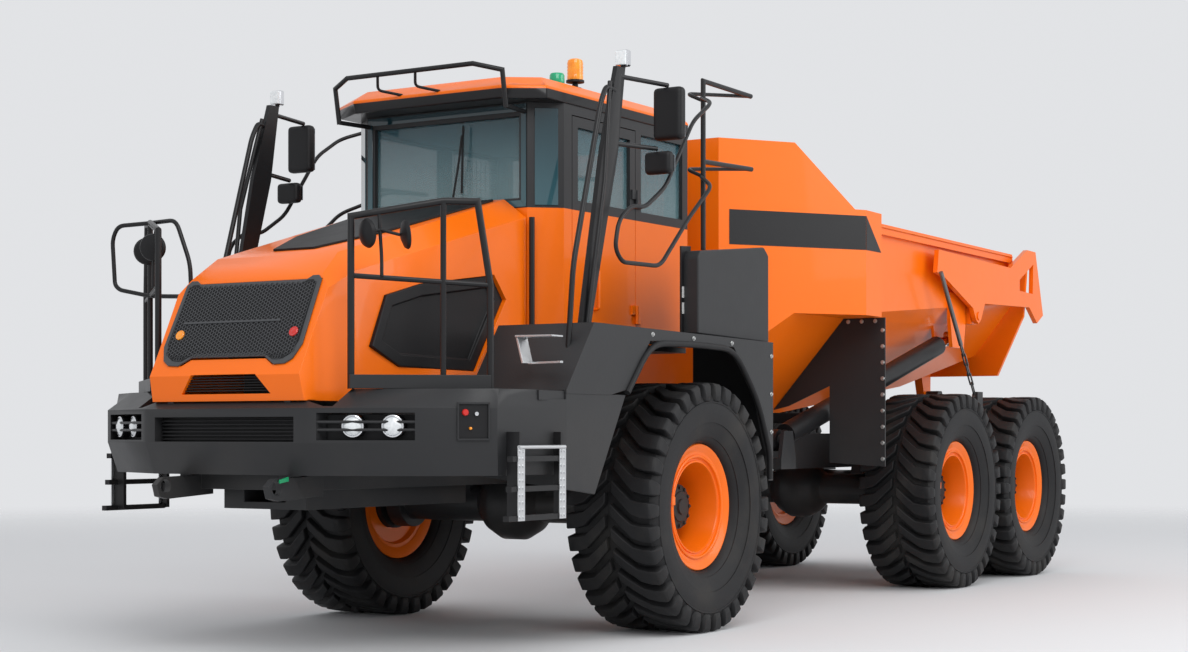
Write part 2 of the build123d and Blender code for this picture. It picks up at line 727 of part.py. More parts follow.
# Rear frame: nose eye, two rails, outriggers, chain brackets and tip pivot cheeks
nose_bottom = 1020
nose_top = 1220
with BuildPart() as rear_frame:
    with BuildSketch(plan(nose_bottom)):
        with Locations((hinge_x, 0)):
            Circle(150)
        with Locations((hinge_x - 330, 0)):
            Rectangle(660, 200)
    extrude(amount=nose_top - nose_bottom)
    post(hinge_x, 0, hinge_pin_radius + 0.5, nose_bottom - 10, nose_top + 10, mode=Mode.SUBTRACT)
    slab(both_halves([(-2100, 100), (-2330, 300), (-2450, rear_rail_outer_y), (-2560, rear_rail_outer_y)]), rear_rail_bottom + 20, rear_rail_top)
    for sign in (-1, 1):
        inner_y = sign * (rear_rail_outer_y - rear_rail_width)
        outer_y = sign * rear_rail_outer_y
        rail_low = min(inner_y, outer_y)
        rail_high = max(inner_y, outer_y)
        box_at(-6450, -2500, rail_low, rail_high, rear_rail_bottom, rear_rail_top)
        box_at(-2700, -2600, rail_low, rail_high, rear_rail_top, floor_z - seat_gap)
        plate(
            [
                (-6450, 1230),
                (-6150, 1230),
                (tip_x + 90, tip_z),
                (tip_x + 40, tip_z + 80),
                (tip_x - 40, tip_z + 80),
                (-6450, tip_z),
            ],
            rail_low,
            rail_high,
        )
        drum(tip_x, tip_z, 45, min(sign * 200, sign * 290), max(sign * 200, sign * 290))
        shelf_low = min(sign * 180, sign * 910)
        shelf_high = max(sign * 180, sign * 910)
        slab(
            [(-2080, shelf_low), (-2080, shelf_high), (-2320, shelf_high), (-2320, shelf_low)],
            980,
            1060,
        )
        for cheek in (690, 880):
            plate(
                [(-2320, 1050), (-2080, 1050), (-2130, 1260), (-2270, 1260)],
                min(sign * cheek, sign * (cheek + 30)),
                max(sign * cheek, sign * (cheek + 30)),
            )
        drum(hoist_low[0], hoist_low[2], hoist_pin_radius, min(sign * 715, sign * 885), max(sign * 715, sign * 885))
        with Locations(spot(hoist_low[0], sign * hoist_low[1], hoist_low[2])):
            Sphere(hoist_ball_radius)
        box_at(-5160, -5040, min(inner_y, sign * (chain_y + 45)), max(inner_y, sign * (chain_y + 45)), 1330, 1420)
        box_at(-5160, -5040, rail_low, rail_high, 1230, 1340)
        box_at(chain_foot[0] - 60, chain_foot[0] + 60, sign * (chain_y + 23), sign * (chain_y + 45), 1340, 1590)
        drum(*chain_foot, chain_pin_radius, sign * (chain_y + 5.5) - 24.5, sign * (chain_y + 5.5) + 24.5)
        box_at(
            bogie_x - 110,
            bogie_x + 110,
            min(sign * 380, sign * 640),
            max(sign * 380, sign * 640),
            1080 + seat_gap,
            1200,
        )
        clevis_low = min(sign * 300, sign * (steer_rear_y + 70))
        clevis_high = max(sign * 300, sign * (steer_rear_y + 70))
        upper = steer_z + eye_half + running_gap
        lower = steer_z - eye_half - running_gap
        box_at(-2600, -2260, clevis_low, clevis_high, upper, rear_rail_bottom + 25)
        box_at(-2600, -2260, clevis_low, clevis_high, lower - lug_thickness, lower)
        box_at(-2600, -2540, clevis_low, clevis_high, lower, upper)
    for member_x in (-3400, -5160, -6450):
        box_at(member_x, member_x + 120, -300, 300, rear_rail_bottom + 20, rear_rail_top - 20)
save(rear_frame, "rear_frame")

# Dump body: tapered front, straight sides and a rising floor, one shell with an open tail
join_x = -2960
bend_x = -5160
bend_floor_z = 1647
bend_half = 515
knee = 1.1538
with BuildPart() as body_outside:
    slab(
        both_halves(
            [(body_front_x, body_half_front), (-2480, body_half_wide), (-2756, body_half_wide), (join_x, body_half_rear)]
        ),
        1300,
        3400,
    )
    panel(
        both_sides([(floor_half_front, floor_z), (1061, shelf_z), (body_half_wide, shelf_z), (body_half_wide, 3400)]),
        join_x - 40,
        -1400,
        mode=Mode.INTERSECT,
    )
    plate(
        [
            (body_front_x, 2060),
            (body_front_x, headboard_top),
            (-1986, headboard_top),
            (-2402, 2873),
            (join_x, side_top),
            (join_x, 1300),
            (-2170, 1300),
        ],
        -1500,
        1500,
        mode=Mode.INTERSECT,
    )
with BuildPart() as body_rear_outside:
    for station, low_half, low_z in (
        (join_x, floor_half_front, floor_z),
        (bend_x, bend_half, bend_floor_z),
        (tail_x, floor_half_rear, 1949),
    ):
        with BuildSketch(cross(station)):
            Polygon(
                *both_sides(
                    [
                        (low_half, low_z),
                        (body_half_rear, low_z + (body_half_rear - low_half) * knee),
                        (body_half_rear, 2900),
                    ]
                ),
                align=None,
            )
    loft(ruled=True)
with BuildPart() as body_inside:
    slab(
        both_halves(
            [
                (body_front_x - wall, body_half_front - 15),
                (-2488, body_half_wide - wall),
                (-2742, body_half_wide - wall),
                (-2940, body_half_rear - wall),
                (join_x, body_half_rear - wall),
            ]
        ),
        1300,
        3500,
    )
    panel(
        both_sides(
            [
                (floor_half_front - 14, floor_z + wall),
                (1047, shelf_z + wall),
                (body_half_wide - wall, shelf_z + wall),
                (body_half_wide - wall, 3500),
            ]
        ),
        join_x - 40,
        -1400,
        mode=Mode.INTERSECT,
    )
    plate(
        [(body_front_x - wall, 2075), (body_front_x - wall, 3500), (join_x, 3500), (join_x, 1300), (-2215, 1300)],
        -1500,
        1500,
        mode=Mode.INTERSECT,
    )
with BuildPart() as body_rear_inside:
    inner_half = body_half_rear - wall
    for station, low_half, low_z in (
        (join_x, floor_half_front - 14, floor_z + wall),
        (bend_x, bend_half - 14, bend_floor_z + wall),
        (tail_x - 60, floor_half_rear - 5, 1993),
    ):
        with BuildSketch(cross(station)):
            Polygon(
                *both_sides([(low_half, low_z), (inner_half, low_z + (inner_half - low_half) * knee), (inner_half, 3000)]),
                align=None,
            )
    loft(ruled=True)
with BuildPart() as dump_body:
    add(body_outside.part)
    add(body_rear_outside.part)
    for rail_low, rail_high in ((body_half_rear - 10, rail_half), (-rail_half, 10 - body_half_rear)):
        plate([(-3000, 2900), (-6250, 2900), (-6250, 2762), (-3000, 2786)], rail_low, rail_high)
    add(body_inside.part, mode=Mode.SUBTRACT)
    add(body_rear_inside.part, mode=Mode.SUBTRACT)
    plate([(join_x, side_top), (-6600, 2837), (-6600, 3100), (join_x, 3100)], -1500, 1500, mode=Mode.SUBTRACT)
    plate([(-6200, 2900), (-6440, 1960), (-6460, 1800), (-6700, 1800), (-6700, 2900)], -1500, 1500, mode=Mode.SUBTRACT)
    for sign in (-1, 1):
        plate(
            [(-6420, 1960), (-6160, 1898), (tip_x + 60, tip_z - 40), (tip_x, tip_z - 75), (tip_x - 60, tip_z - 40)],
            min(sign * 205, sign * 280),
            max(sign * 205, sign * 280),
        )
        drum(tip_x, tip_z, 45.5, min(sign * 200, sign * 285), max(sign * 200, sign * 285), mode=Mode.SUBTRACT)
        plate(
            [(boss_x - 75, 2170), (boss_x + 60, 2170), (boss_x + 75, 2500), (boss_x - 90, 2500)],
            sign * (body_half_rear + 28.5) - 36.5,
            sign * (body_half_rear + 28.5) + 36.5,
        )
        drum(boss_x, boss_z, boss_radius, sign * (body_half_rear + 72.5) - 52.5, sign * (body_half_rear + 72.5) + 52.5)
        plate(
            [(-5080, 1960), (-4830, 1960), (-4780, 2200), (-5100, 2170)],
            sign * (body_half_rear - 137.5) - 12.5,
            sign * (body_half_rear - 137.5) + 12.5,
        )
        plate(
            [(-5080, 1960), (-4830, 1960), (-4780, 2200), (-4780, 2420), (-5120, 2420), (-5120, 2170)],
            sign * (body_half_rear + 14.5) - 15.5,
            sign * (body_half_rear + 14.5) + 15.5,
        )
save(dump_body, "dump_body")

# Mudguard sheets bolted under the body's shoulder ahead of the middle tyres
with BuildPart() as mudguards:
    guard_half = body_half_wide - 1
    panel(
        [
            (guard_half - 338, shelf_z - 1),
            (guard_half, shelf_z - seat_gap),
            (guard_half, 993),
            (945, 1020),
            (945, 1600),
            (600, 1450),
            (470, 1420),
        ],
        -2835,
        -2820,
    )
    mirror(about=Plane.XZ)
save(mudguards, "mudguards")

# Tailgate: two arms hung on the body's bosses and the plate between them
with BuildPart() as tailgate:
    plate(
        [
            (-4324, 2736),
            (-5976, 2701),
            (-6405, 2892),
            (-6619, 2889),
            (-6823, 2322),
            (-6662, 2244),
            (-6460, 2378),
            (-5356, 2351),
            (-5262, 2205),
            (-5204, 2173),
            (-5146, 2205),
            (-5077, 2299),
            (-4415, 2530),
            (-4290, 2548),
        ],
        arm_outer_y - arm_thickness,
        arm_outer_y,
    )
    plate([(-6561, 2772), (-6547, 2505), (-6209, 2514), (-6209, 2611)], body_half_rear, arm_outer_y + 85, mode=Mode.SUBTRACT)
    drum(boss_x, boss_z, boss_radius + 0.5, body_half_rear, arm_outer_y + 85, mode=Mode.SUBTRACT)
    mirror(about=Plane.XZ)
    panel(both_sides([(arm_outer_y - 312, 1765), (arm_outer_y - 65, 2300), (arm_outer_y - 30, 2800)]), -6510, -6470)
save(tailgate, "tailgate")

# Tailgate chains, each between a chassis bracket and the front of a tailgate arm
link_pitch = link_length - 2 * link_wire + 1
for chain_name, sign in (("left", 1), ("right", -1)):
    with BuildPart() as chain:
        foot = Vector(*spot(chain_foot[0], sign * chain_y, chain_foot[1]))
        head = Vector(*spot(chain_head[0], sign * chain_y, chain_head[1]))
        along = (head - foot).normalized()
        across = Vector(0, 1, 0)
        for link in range(link_count):
            link_middle = foot + along * (28 + link_length / 2 + link_pitch * link)
            link_normal = across if link % 2 == 0 else along.cross(across)
            with BuildSketch(Plane(origin=link_middle, x_dir=along, z_dir=link_normal)):
                Rectangle(link_length, 2 * chain_radius)
                Rectangle(link_length - 2 * link_wire, 2 * (chain_radius - link_wire), mode=Mode.SUBTRACT)
            extrude(amount=link_wire / 2, both=True)
        sleeve_start = foot + along * (28 + link_pitch * link_count + link_wire)
        with BuildSketch(Plane(origin=sleeve_start, z_dir=along)):
            RegularPolygon(chain_radius, 12)
        extrude(amount=(head - sleeve_start).length)
        with BuildSketch(side(sign * chain_y)) as eye:
            with Locations(chain_foot):
                RegularPolygon(chain_eye_radius, chain_eye_sides)
        extrude(eye.sketch, amount=chain_radius, both=True)
        with BuildSketch(side(sign * chain_y)) as eye_bore:
            with Locations(chain_foot):
                RegularPolygon(chain_pin_radius + 0.5, chain_eye_sides, major_radius=False)
        extrude(eye_bore.sketch, amount=2 * chain_radius, both=True, mode=Mode.SUBTRACT)
    save(chain, f"chain_{chain_name}")

# Hoist cylinders: barrel on the rear frame and rod to the body
hoist_length = Vector(*hoist_high) - Vector(*hoist_low)
for hoist_name, sign in (("left", 1), ("right", -1)):
    foot = Vector(*spot(hoist_low[0], sign * hoist_low[1], hoist_low[2]))
    head = Vector(*spot(hoist_high[0], sign * hoist_high[1], hoist_high[2]))
    along = (head - foot).normalized()
    reach = (head - foot).length
    with BuildPart() as hoist_barrel:
        with BuildSketch(Plane(origin=foot + along * 150, z_dir=along)):
            Circle(hoist_barrel_radius)
        extrude(amount=reach - 150 - 230)
        with BuildSketch(Plane(origin=foot + along * 60, z_dir=along)):
            Circle(40)
        extrude(amount=100)
        eye_low = sign * hoist_low[1] - hoist_eye_half
        eye_high = sign * hoist_low[1] + hoist_eye_half
        drum(hoist_low[0], hoist_low[2], hoist_eye_radius, eye_low, eye_high)
        with Locations(foot):
            Sphere(hoist_ball_radius + seat_gap + 0.2, mode=Mode.SUBTRACT)
        with BuildSketch(Plane(origin=foot + along * 220, z_dir=along)):
            Circle(hoist_rod_radius + 1)
        extrude(amount=reach, mode=Mode.SUBTRACT)
    save(hoist_barrel, f"hoist_barrel_{hoist_name}")
    with BuildPart() as hoist_rod:
        with BuildSketch(Plane(origin=foot + along * 260, z_dir=along)):
            Circle(hoist_rod_radius)
        extrude(amount=reach - 260 - hoist_neck_length)
        with BuildSketch(Plane(origin=head - along * hoist_neck_length, z_dir=along)):
            Circle(hoist_neck_radius)
        extrude(amount=hoist_neck_length)
        head_low = sign * hoist_high[1] - hoist_head_half
        head_high = sign * hoist_high[1] + hoist_head_half
        drum(hoist_high[0], hoist_high[2], hoist_head_radius, head_low, head_high)
    save(hoist_rod, f"hoist_rod_{hoist_name}")

# Steering cylinders: barrel on the knuckle and rod to the rear frame
for steer_name, sign in (("left", 1), ("right", -1)):
    foot = Vector(*spot(steer_front_x, sign * steer_front_y, steer_z))
    head = Vector(*spot(steer_rear_x, sign * steer_rear_y, steer_z))
    along = (head - foot).normalized()
    reach = (head - foot).length
    with BuildPart() as steer_barrel:
        with BuildSketch(Plane(origin=foot + along * 40, z_dir=along)):
            Circle(50)
        extrude(amount=900)
        post(steer_front_x, sign * steer_front_y, 60, steer_z - eye_half, steer_z + eye_half)
        post(steer_front_x, sign * steer_front_y, 28.5, steer_z - 60, steer_z + 60, mode=Mode.SUBTRACT)
        with BuildSketch(Plane(origin=foot + along * 110, z_dir=along)):
            Circle(31)
        extrude(amount=reach, mode=Mode.SUBTRACT)
    save(steer_barrel, f"steering_barrel_{steer_name}")
    with BuildPart() as steer_rod:
        with BuildSketch(Plane(origin=foot + along * 450, z_dir=along)):
            Circle(30)
        extrude(amount=reach - 450)
        post(steer_rear_x, sign * steer_rear_y, 50, steer_z - eye_half, steer_z + eye_half)
    save(steer_rod, f"steering_rod_{steer_name}")
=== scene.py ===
import json
import math

import bmesh
import bpy
from mathutils import Matrix, Vector


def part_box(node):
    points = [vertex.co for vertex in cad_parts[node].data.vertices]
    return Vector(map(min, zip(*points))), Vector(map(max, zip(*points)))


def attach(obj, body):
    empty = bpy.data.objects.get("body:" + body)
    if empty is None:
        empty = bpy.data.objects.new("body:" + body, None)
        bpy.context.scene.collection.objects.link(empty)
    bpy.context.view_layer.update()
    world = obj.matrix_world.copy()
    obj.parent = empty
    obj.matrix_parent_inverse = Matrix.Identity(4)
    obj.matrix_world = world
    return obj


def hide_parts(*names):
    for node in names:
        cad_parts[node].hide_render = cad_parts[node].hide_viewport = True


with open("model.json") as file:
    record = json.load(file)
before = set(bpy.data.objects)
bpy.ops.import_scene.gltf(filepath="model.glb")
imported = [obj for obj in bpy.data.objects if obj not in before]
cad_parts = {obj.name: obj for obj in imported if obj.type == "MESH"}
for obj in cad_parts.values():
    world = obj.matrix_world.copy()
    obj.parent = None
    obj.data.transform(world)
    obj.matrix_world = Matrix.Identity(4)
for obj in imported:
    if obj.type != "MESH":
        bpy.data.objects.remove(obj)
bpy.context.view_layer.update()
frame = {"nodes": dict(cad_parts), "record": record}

# Frames of the truck: two welded steel halves, the front one under the engine and the rear one
# under the body, joined by a roll ring and an upright steering pin. All sprayed in one dark satin
# paint that lies over a slightly uneven casting and plate surface.


class Signal:
    """A number in a finish: one node socket, joined to others by Python's own signs."""

    def __init__(self, finish, socket):
        self.finish = finish
        self.socket = socket

    def worked(self, operation, first, second):
        return self.finish.add("Math", {"operation": operation}, {0: first, 1: second})

    def __add__(self, other):
        return self.worked("ADD", self, other)

    def __sub__(self, other):
        return self.worked("SUBTRACT", self, other)

    def __rsub__(self, other):
        return self.worked("SUBTRACT", other, self)

    def __mul__(self, other):
        return self.worked("MULTIPLY", self, other)

    __radd__ = __add__
    __rmul__ = __mul__


class Finish:
    """One paint, rubber, glass or metal. Its pattern reads the piece's own Object coordinates."""

    def __init__(self, name, colour, roughness, metallic=0.0, coat=0.0):
        self.material = bpy.data.materials.new(name)
        self.material.use_nodes = True
        self.tree = self.material.node_tree
        self.shader = self.tree.nodes["Principled BSDF"]
        self.colour = (*colour, 1.0)
        self.material.diffuse_color = self.colour
        self.put("Base Color", self.colour)
        self.put("Roughness", roughness)
        self.put("Metallic", metallic)
        self.put("Coat Weight", coat)
        self.put("Specular IOR Level", 0.5 if metallic else 0.28)
        self.place = self.add("TexCoord", out="Object")

    def feed(self, socket, value):
        if isinstance(value, Signal):
            self.tree.links.new(value.socket, socket)
        else:
            socket.default_value = value

    def put(self, socket_name, value):
        self.feed(self.shader.inputs[socket_name], value)

    def add(self, kind, settings=None, inputs=None, out=0):
        """A node of that kind: its settings first, then what goes into its sockets."""
        node = self.tree.nodes.new("ShaderNode" + kind)
        for key, value in (settings or {}).items():
            if key == "stops":
                ramp = node.color_ramp.elements
                for number, (position, shade) in enumerate(value):
                    stop = ramp[number] if number < 2 else ramp.new(position)
                    stop.position = position
                    stop.color = (*shade, 1.0)
            else:
                setattr(node, key, value)
        for key, value in (inputs or {}).items():
            self.feed(node.inputs[key], value)
        return Signal(self, node.outputs[out])

    def grain(self, scale, detail=4.0, roughness=0.55):
        """Cloudy noise from 0 to 1, in features of about 1 / scale metres."""
        sockets = {"Vector": self.place, "Scale": scale, "Detail": detail, "Roughness": roughness}
        return self.add("TexNoise", {}, sockets, out="Fac")

    def mixed(self, amount, first, second):
        """One colour turning into another by an amount from 0 to 1."""
        sockets = {"Factor": amount, 6: first, 7: second}
        return self.add("Mix", {"data_type": "RGBA"}, sockets, out=2)

    def along(self, axis):
        """The place on the piece along one axis, in metres."""
        return self.add("SeparateXYZ", {}, {0: self.place}, out=axis)

    def smooth_step(self, value, low, high):
        """0 below low, 1 above high and a soft turn between."""
        settings = {"interpolation_type": "SMOOTHSTEP"}
        return self.add("MapRange", settings, {0: value, 1: low, 2: high})

    def relief(self, height, distance):
        """Lets a height pattern catch the light, distance metres from its low to its high."""
        bump = self.add("Bump", {}, {"Height": height, "Distance": distance, "Strength": 1.0})
        self.put("Normal", bump)


def dusty_paint(name, colour, roughness, coat=0.0, dust=0.25, wave=0.0004):
    """Sprayed machine paint: a faint unevenness, and a film of dust that thickens near the ground."""
    finish = Finish(name, colour, roughness, coat=coat)
    cloud = finish.grain(1.7)
    speck = finish.grain(38.0)
    dust_colour = (0.20, 0.17, 0.135, 1.0)
    low_down = 1 - finish.smooth_step(finish.along("Z"), 0.35, 1.7)
    film = low_down * dust * finish.smooth_step(cloud, 0.42, 0.75)
    darker = (*(0.93 * part for part in colour), 1.0)
    lighter = (*(1.05 * part for part in colour), 1.0)
    tone = finish.mixed(cloud, darker, lighter)
    finish.put("Base Color", finish.mixed(film, tone, dust_colour))
    finish.put("Roughness", finish.grain(9.0) * 0.10 + film * 0.25 + (roughness - 0.05))
    finish.relief(speck, wave)
    return finish


def coated(mesh, finish, sharp=32):
    """Gives a mesh its one finish, smooth all over but for its sharp edges."""
    mesh.materials.clear()
    mesh.materials.append(finish.material)
    mesh.shade_smooth()
    mesh.set_sharp_from_angle(angle=math.radians(sharp))


def dressed(node, finish, edge):
    """A copy of a CAD node with its doubles merged and its edges rounded, which stands for it."""
    flat = math.radians(0.5)
    mesh = frame["nodes"][node].data.copy()
    work = bmesh.new()
    work.from_mesh(mesh)
    bmesh.ops.remove_doubles(work, verts=work.verts, dist=0.00002)
    bmesh.ops.dissolve_limit(
        work, angle_limit=flat, use_dissolve_boundaries=False, verts=work.verts, edges=work.edges
    )
    work.to_mesh(mesh)
    work.free()
    piece = bpy.data.objects.new(node + "_dressed", mesh)
    bpy.context.scene.collection.objects.link(piece)
    coated(mesh, finish)
    rounding = piece.modifiers.new("Rounded edges", "BEVEL")
    rounding.width = edge
    rounding.segments = 2
    rounding.limit_method = "ANGLE"
    rounding.angle_limit = math.radians(28)
    rounding.harden_normals = True
    rounding.use_clamp_overlap = True
    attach(piece, body_of_node[node])
    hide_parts(node)


body_of_node = {}
for body_name, body_nodes in frame["record"]["behaviour"]["bodies"].items():
    for node_name in body_nodes:
        body_of_node[node_name] = body_name

dark_paint = dusty_paint("dark satin paint", (0.024, 0.0245, 0.026), 0.42, dust=0.12)
for node_name in ("front_frame", "hitch_ring", "rear_frame"):
    dressed(node_name, dark_paint, edge=0.005)

# Axles and rocking beams: cast housings with a round differential in the middle, in the same dark
# paint, the beams carried by a centre pin block on each rail.
for node_name in ("front_axle", "rear_axles", "bogie_beams"):
    dressed(node_name, dark_paint, edge=0.006)

# Tyres: six wide earthmover tyres of moulded black rubber on one size of rim. The carcass is turned
# from its section, and thick lugs, straight at the shoulder and slanting in to the middle of the
# tread, run round it on both sides, half a step apart.


def joined(work, here, after):
    """A band of four-sided faces between two rings that have as many corners."""
    for corner in range(len(here)):
        beyond = (corner + 1) % len(here)
        work.faces.new((here[corner], here[beyond], after[beyond], after[corner]))


def turned(work, section, centre, steps, outward=1):
    """A ring: the section's (distance along Y, radius) points spun round a wheel's axle."""
    rings = []
    for number in range(steps):
        angle = 2 * math.pi * number / steps
        ring = []
        for along, radius in section:
            place = centre + Vector((radius * math.cos(angle), outward * along, radius * math.sin(angle)))
            ring.append(work.verts.new(place))
        rings.append(ring)
    for number in range(steps):
        joined(work, rings[number], rings[(number + 1) % steps])


def as_mesh(name, work):
    """The worked mesh as Blender keeps it."""
    mesh = bpy.data.meshes.new(name)
    work.to_mesh(mesh)
    work.free()
    return mesh


def placed(name, mesh, body):
    """A coated mesh as a piece that rides on its body."""
    piece = bpy.data.objects.new(name, mesh)
    bpy.context.scene.collection.objects.link(piece)
    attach(piece, body)
    return piece


def finished(name, work, finish, body, sharp=32):
    """The worked mesh, its doubles merged and its faces turned outwards, as a coated piece."""
    bmesh.ops.remove_doubles(work, verts=work.verts, dist=0.00001)
    bmesh.ops.recalc_face_normals(work, faces=work.faces)
    mesh = as_mesh(name, work)
    coated(mesh, finish, sharp)
    return placed(name, mesh, body)


def repeater():
    """Geometry Nodes: one item at every vertex of the piece, turned by the vertex's own turn."""
    tree = bpy.data.node_groups.new("One item at each place", "GeometryNodeTree")
    sockets = tree.interface
    sockets.new_socket("Places", in_out="INPUT", socket_type="NodeSocketGeometry")
    sockets.new_socket("Item", in_out="INPUT", socket_type="NodeSocketObject")
    sockets.new_socket("Finish", in_out="INPUT", socket_type="NodeSocketMaterial")
    sockets.new_socket("Geometry", in_out="OUTPUT", socket_type="NodeSocketGeometry")
    start = tree.nodes.new("NodeGroupInput")
    item = tree.nodes.new("GeometryNodeObjectInfo")
    turn = tree.nodes.new("GeometryNodeInputNamedAttribute")
    turn.data_type = "FLOAT_VECTOR"
    turn.inputs["Name"].default_value = "turn"
    copies = tree.nodes.new("GeometryNodeInstanceOnPoints")
    real = tree.nodes.new("GeometryNodeRealizeInstances")
    coat = tree.nodes.new("GeometryNodeSetMaterial")
    end = tree.nodes.new("NodeGroupOutput")
    tree.links.new(start.outputs["Item"], item.inputs["Object"])
    tree.links.new(start.outputs["Places"], copies.inputs["Points"])
    tree.links.new(item.outputs["Geometry"], copies.inputs["Instance"])
    tree.links.new(turn.outputs["Attribute"], copies.inputs["Rotation"])
    tree.links.new(copies.outputs["Instances"], real.inputs["Geometry"])
    tree.links.new(real.outputs["Geometry"], coat.inputs["Geometry"])
    tree.links.new(start.outputs["Finish"], coat.inputs["Material"])
    tree.links.new(coat.outputs["Geometry"], end.inputs["Geometry"])
    return tree


item_at_each_place = repeater()


def repeated(name, item, places, finish, body, sharp=32):
    """One piece made of copies of an item's mesh, at (place, turn) pairs worked out by the caller."""
    item_object = bpy.data.objects.new("item", item)
    mesh = bpy.data.meshes.new(name)
    mesh.from_pydata([tuple(place) for place, turn in places], [], [])
    turns = mesh.attributes.new("turn", "FLOAT_VECTOR", "POINT")
    for number, (place, turn) in enumerate(places):
        turns.data[number].vector = turn
    carrier = bpy.data.objects.new(name + "_places", mesh)
    bpy.context.scene.collection.objects.link(carrier)
    copying = carrier.modifiers.new("Copies", "NODES")
    copying.node_group = item_at_each_place
    wanted = {"Item": item_object, "Finish": finish.material}
    for socket in item_at_each_place.interface.items_tree:
        if socket.in_out == "INPUT" and socket.name in wanted:
            copying[socket.identifier] = wanted[socket.name]
    graph = bpy.context.evaluated_depsgraph_get()
    baked = bpy.data.meshes.new_from_object(carrier.evaluated_get(graph), depsgraph=graph)
    for spare in (carrier, item_object):
        bpy.data.objects.remove(spare)
    baked.name = name
    coated(baked, finish, sharp)
    placed(name, baked, body)


tyre_rubber = Finish("tyre rubber", (0.010, 0.010, 0.011), 0.68)
rubber_cloud = tyre_rubber.grain(3.0)
rubber_dust = tyre_rubber.smooth_step(rubber_cloud, 0.45, 0.8) * 0.28
dust_on_rubber = (0.085, 0.078, 0.068, 1.0)
tyre_rubber.put("Base Color", tyre_rubber.mixed(rubber_dust, tyre_rubber.colour, dust_on_rubber))
tyre_rubber.put("Roughness", rubber_dust * 0.5 + tyre_rubber.grain(60.0) * 0.12 + 0.52)
tyre_rubber.relief(tyre_rubber.grain(140.0), 0.0006)

rim_low, rim_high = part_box("rim_front_left")
tyre_tip = (rim_low.z + rim_high.z) / 2
lug_height = 0.046
tread = tyre_tip - lug_height
carcass_section = [
    # distance along Y, radius: from the bead out to the shoulder and up to the middle of the tread
    (0.193, 0.400), (0.214, 0.404), (0.238, 0.424), (0.246, 0.440), (0.251, 0.440), (0.262, 0.462),
    (0.277, 0.505), (0.284, 0.530), (0.289, 0.530), (0.291, 0.545), (0.296, 0.580), (0.2975, 0.625),
    (0.295, 0.650), (0.299, 0.653), (0.299, 0.660), (0.292, 0.664), (0.280, 0.700), (0.262, 0.722),
    (0.200, tread), (0.100, tread + 0.003), (0.000, tread + 0.004),
]
carcass_section += [(-along, radius) for along, radius in reversed(carcass_section[:-1])]
carcass_section += [(-0.165, 0.322), (0.165, 0.322)]
carcass_steps = 120

lugs_a_side = 34
lug_foot_reach = 0.270
lug_stations = [
    # along Y, top radius, bottom radius, half width at the top, half width at the bottom, lead
    (0.303, 0.668, 0.655, 0.034, 0.044, 0.0),
    (0.306, 0.705, 0.660, 0.040, 0.050, 0.0),
    (0.302, 0.757, 0.690, 0.044, 0.055, 0.0),
    (0.288, tyre_tip - 0.003, 0.700, 0.046, 0.057, 0.0),
    (0.230, tyre_tip, 0.715, 0.046, 0.057, 0.004),
    (0.165, tyre_tip, 0.722, 0.043, 0.055, 0.020),
    (0.095, tyre_tip, 0.725, 0.038, 0.050, 0.080),
    (0.018, tyre_tip - 0.002, 0.725, 0.034, 0.046, 0.150),
]


def lug(side):
    """One lug at the front of the tyre, closed all round, its foot sunk in the carcass."""
    work = bmesh.new()
    rows = []
    for along, top, bottom, top_half, bottom_half, lead in lug_stations:
        row = []
        corners = ((bottom, -bottom_half), (top, -top_half), (top, top_half), (bottom, bottom_half))
        for radius, offset in corners:
            angle = (offset + lead) / tyre_tip
            reach = along if radius == top else min(along, lug_foot_reach)
            row.append(work.verts.new((radius * math.cos(angle), side * reach, radius * math.sin(angle))))
        rows.append(row)
    for here, after in zip(rows, rows[1:]):
        joined(work, here, after)
    work.faces.new(rows[0])
    work.faces.new(rows[-1])
    bmesh.ops.recalc_face_normals(work, faces=work.faces)
    sharp_turn = 0.6
    edges = [edge for edge in work.edges if edge.calc_face_angle(0) > sharp_turn]
    bmesh.ops.bevel(work, geom=edges, offset=0.006, segments=1, affect="EDGES", clamp_overlap=True)
    return as_mesh("lug", work)


wheel_names = ("front_left", "front_right", "middle_left", "middle_right", "rear_left", "rear_right")
wheel_centre = {}
for wheel in wheel_names:
    low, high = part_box("rim_" + wheel)
    wheel_centre[wheel] = (Vector(low) + Vector(high)) / 2
for wheel in wheel_names:
    work = bmesh.new()
    turned(work, carcass_section, wheel_centre[wheel], carcass_steps)
    carcass = finished("tyre_carcass_" + wheel, work, tyre_rubber, "wheel_" + wheel)
    for side, side_name in ((1, "outer"), (-1, "inner")):
        places = []
        for number in range(lugs_a_side):
            angle = 2 * math.pi * (number + (0.5 if side < 0 else 0.0)) / lugs_a_side
            places.append((wheel_centre[wheel], (0.0, -angle, 0.0)))
        name = "tyre_lugs_" + side_name + "_" + wheel
        repeated(name, lug(side), places, tyre_rubber, "wheel_" + wheel)
    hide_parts("tyre_" + wheel)

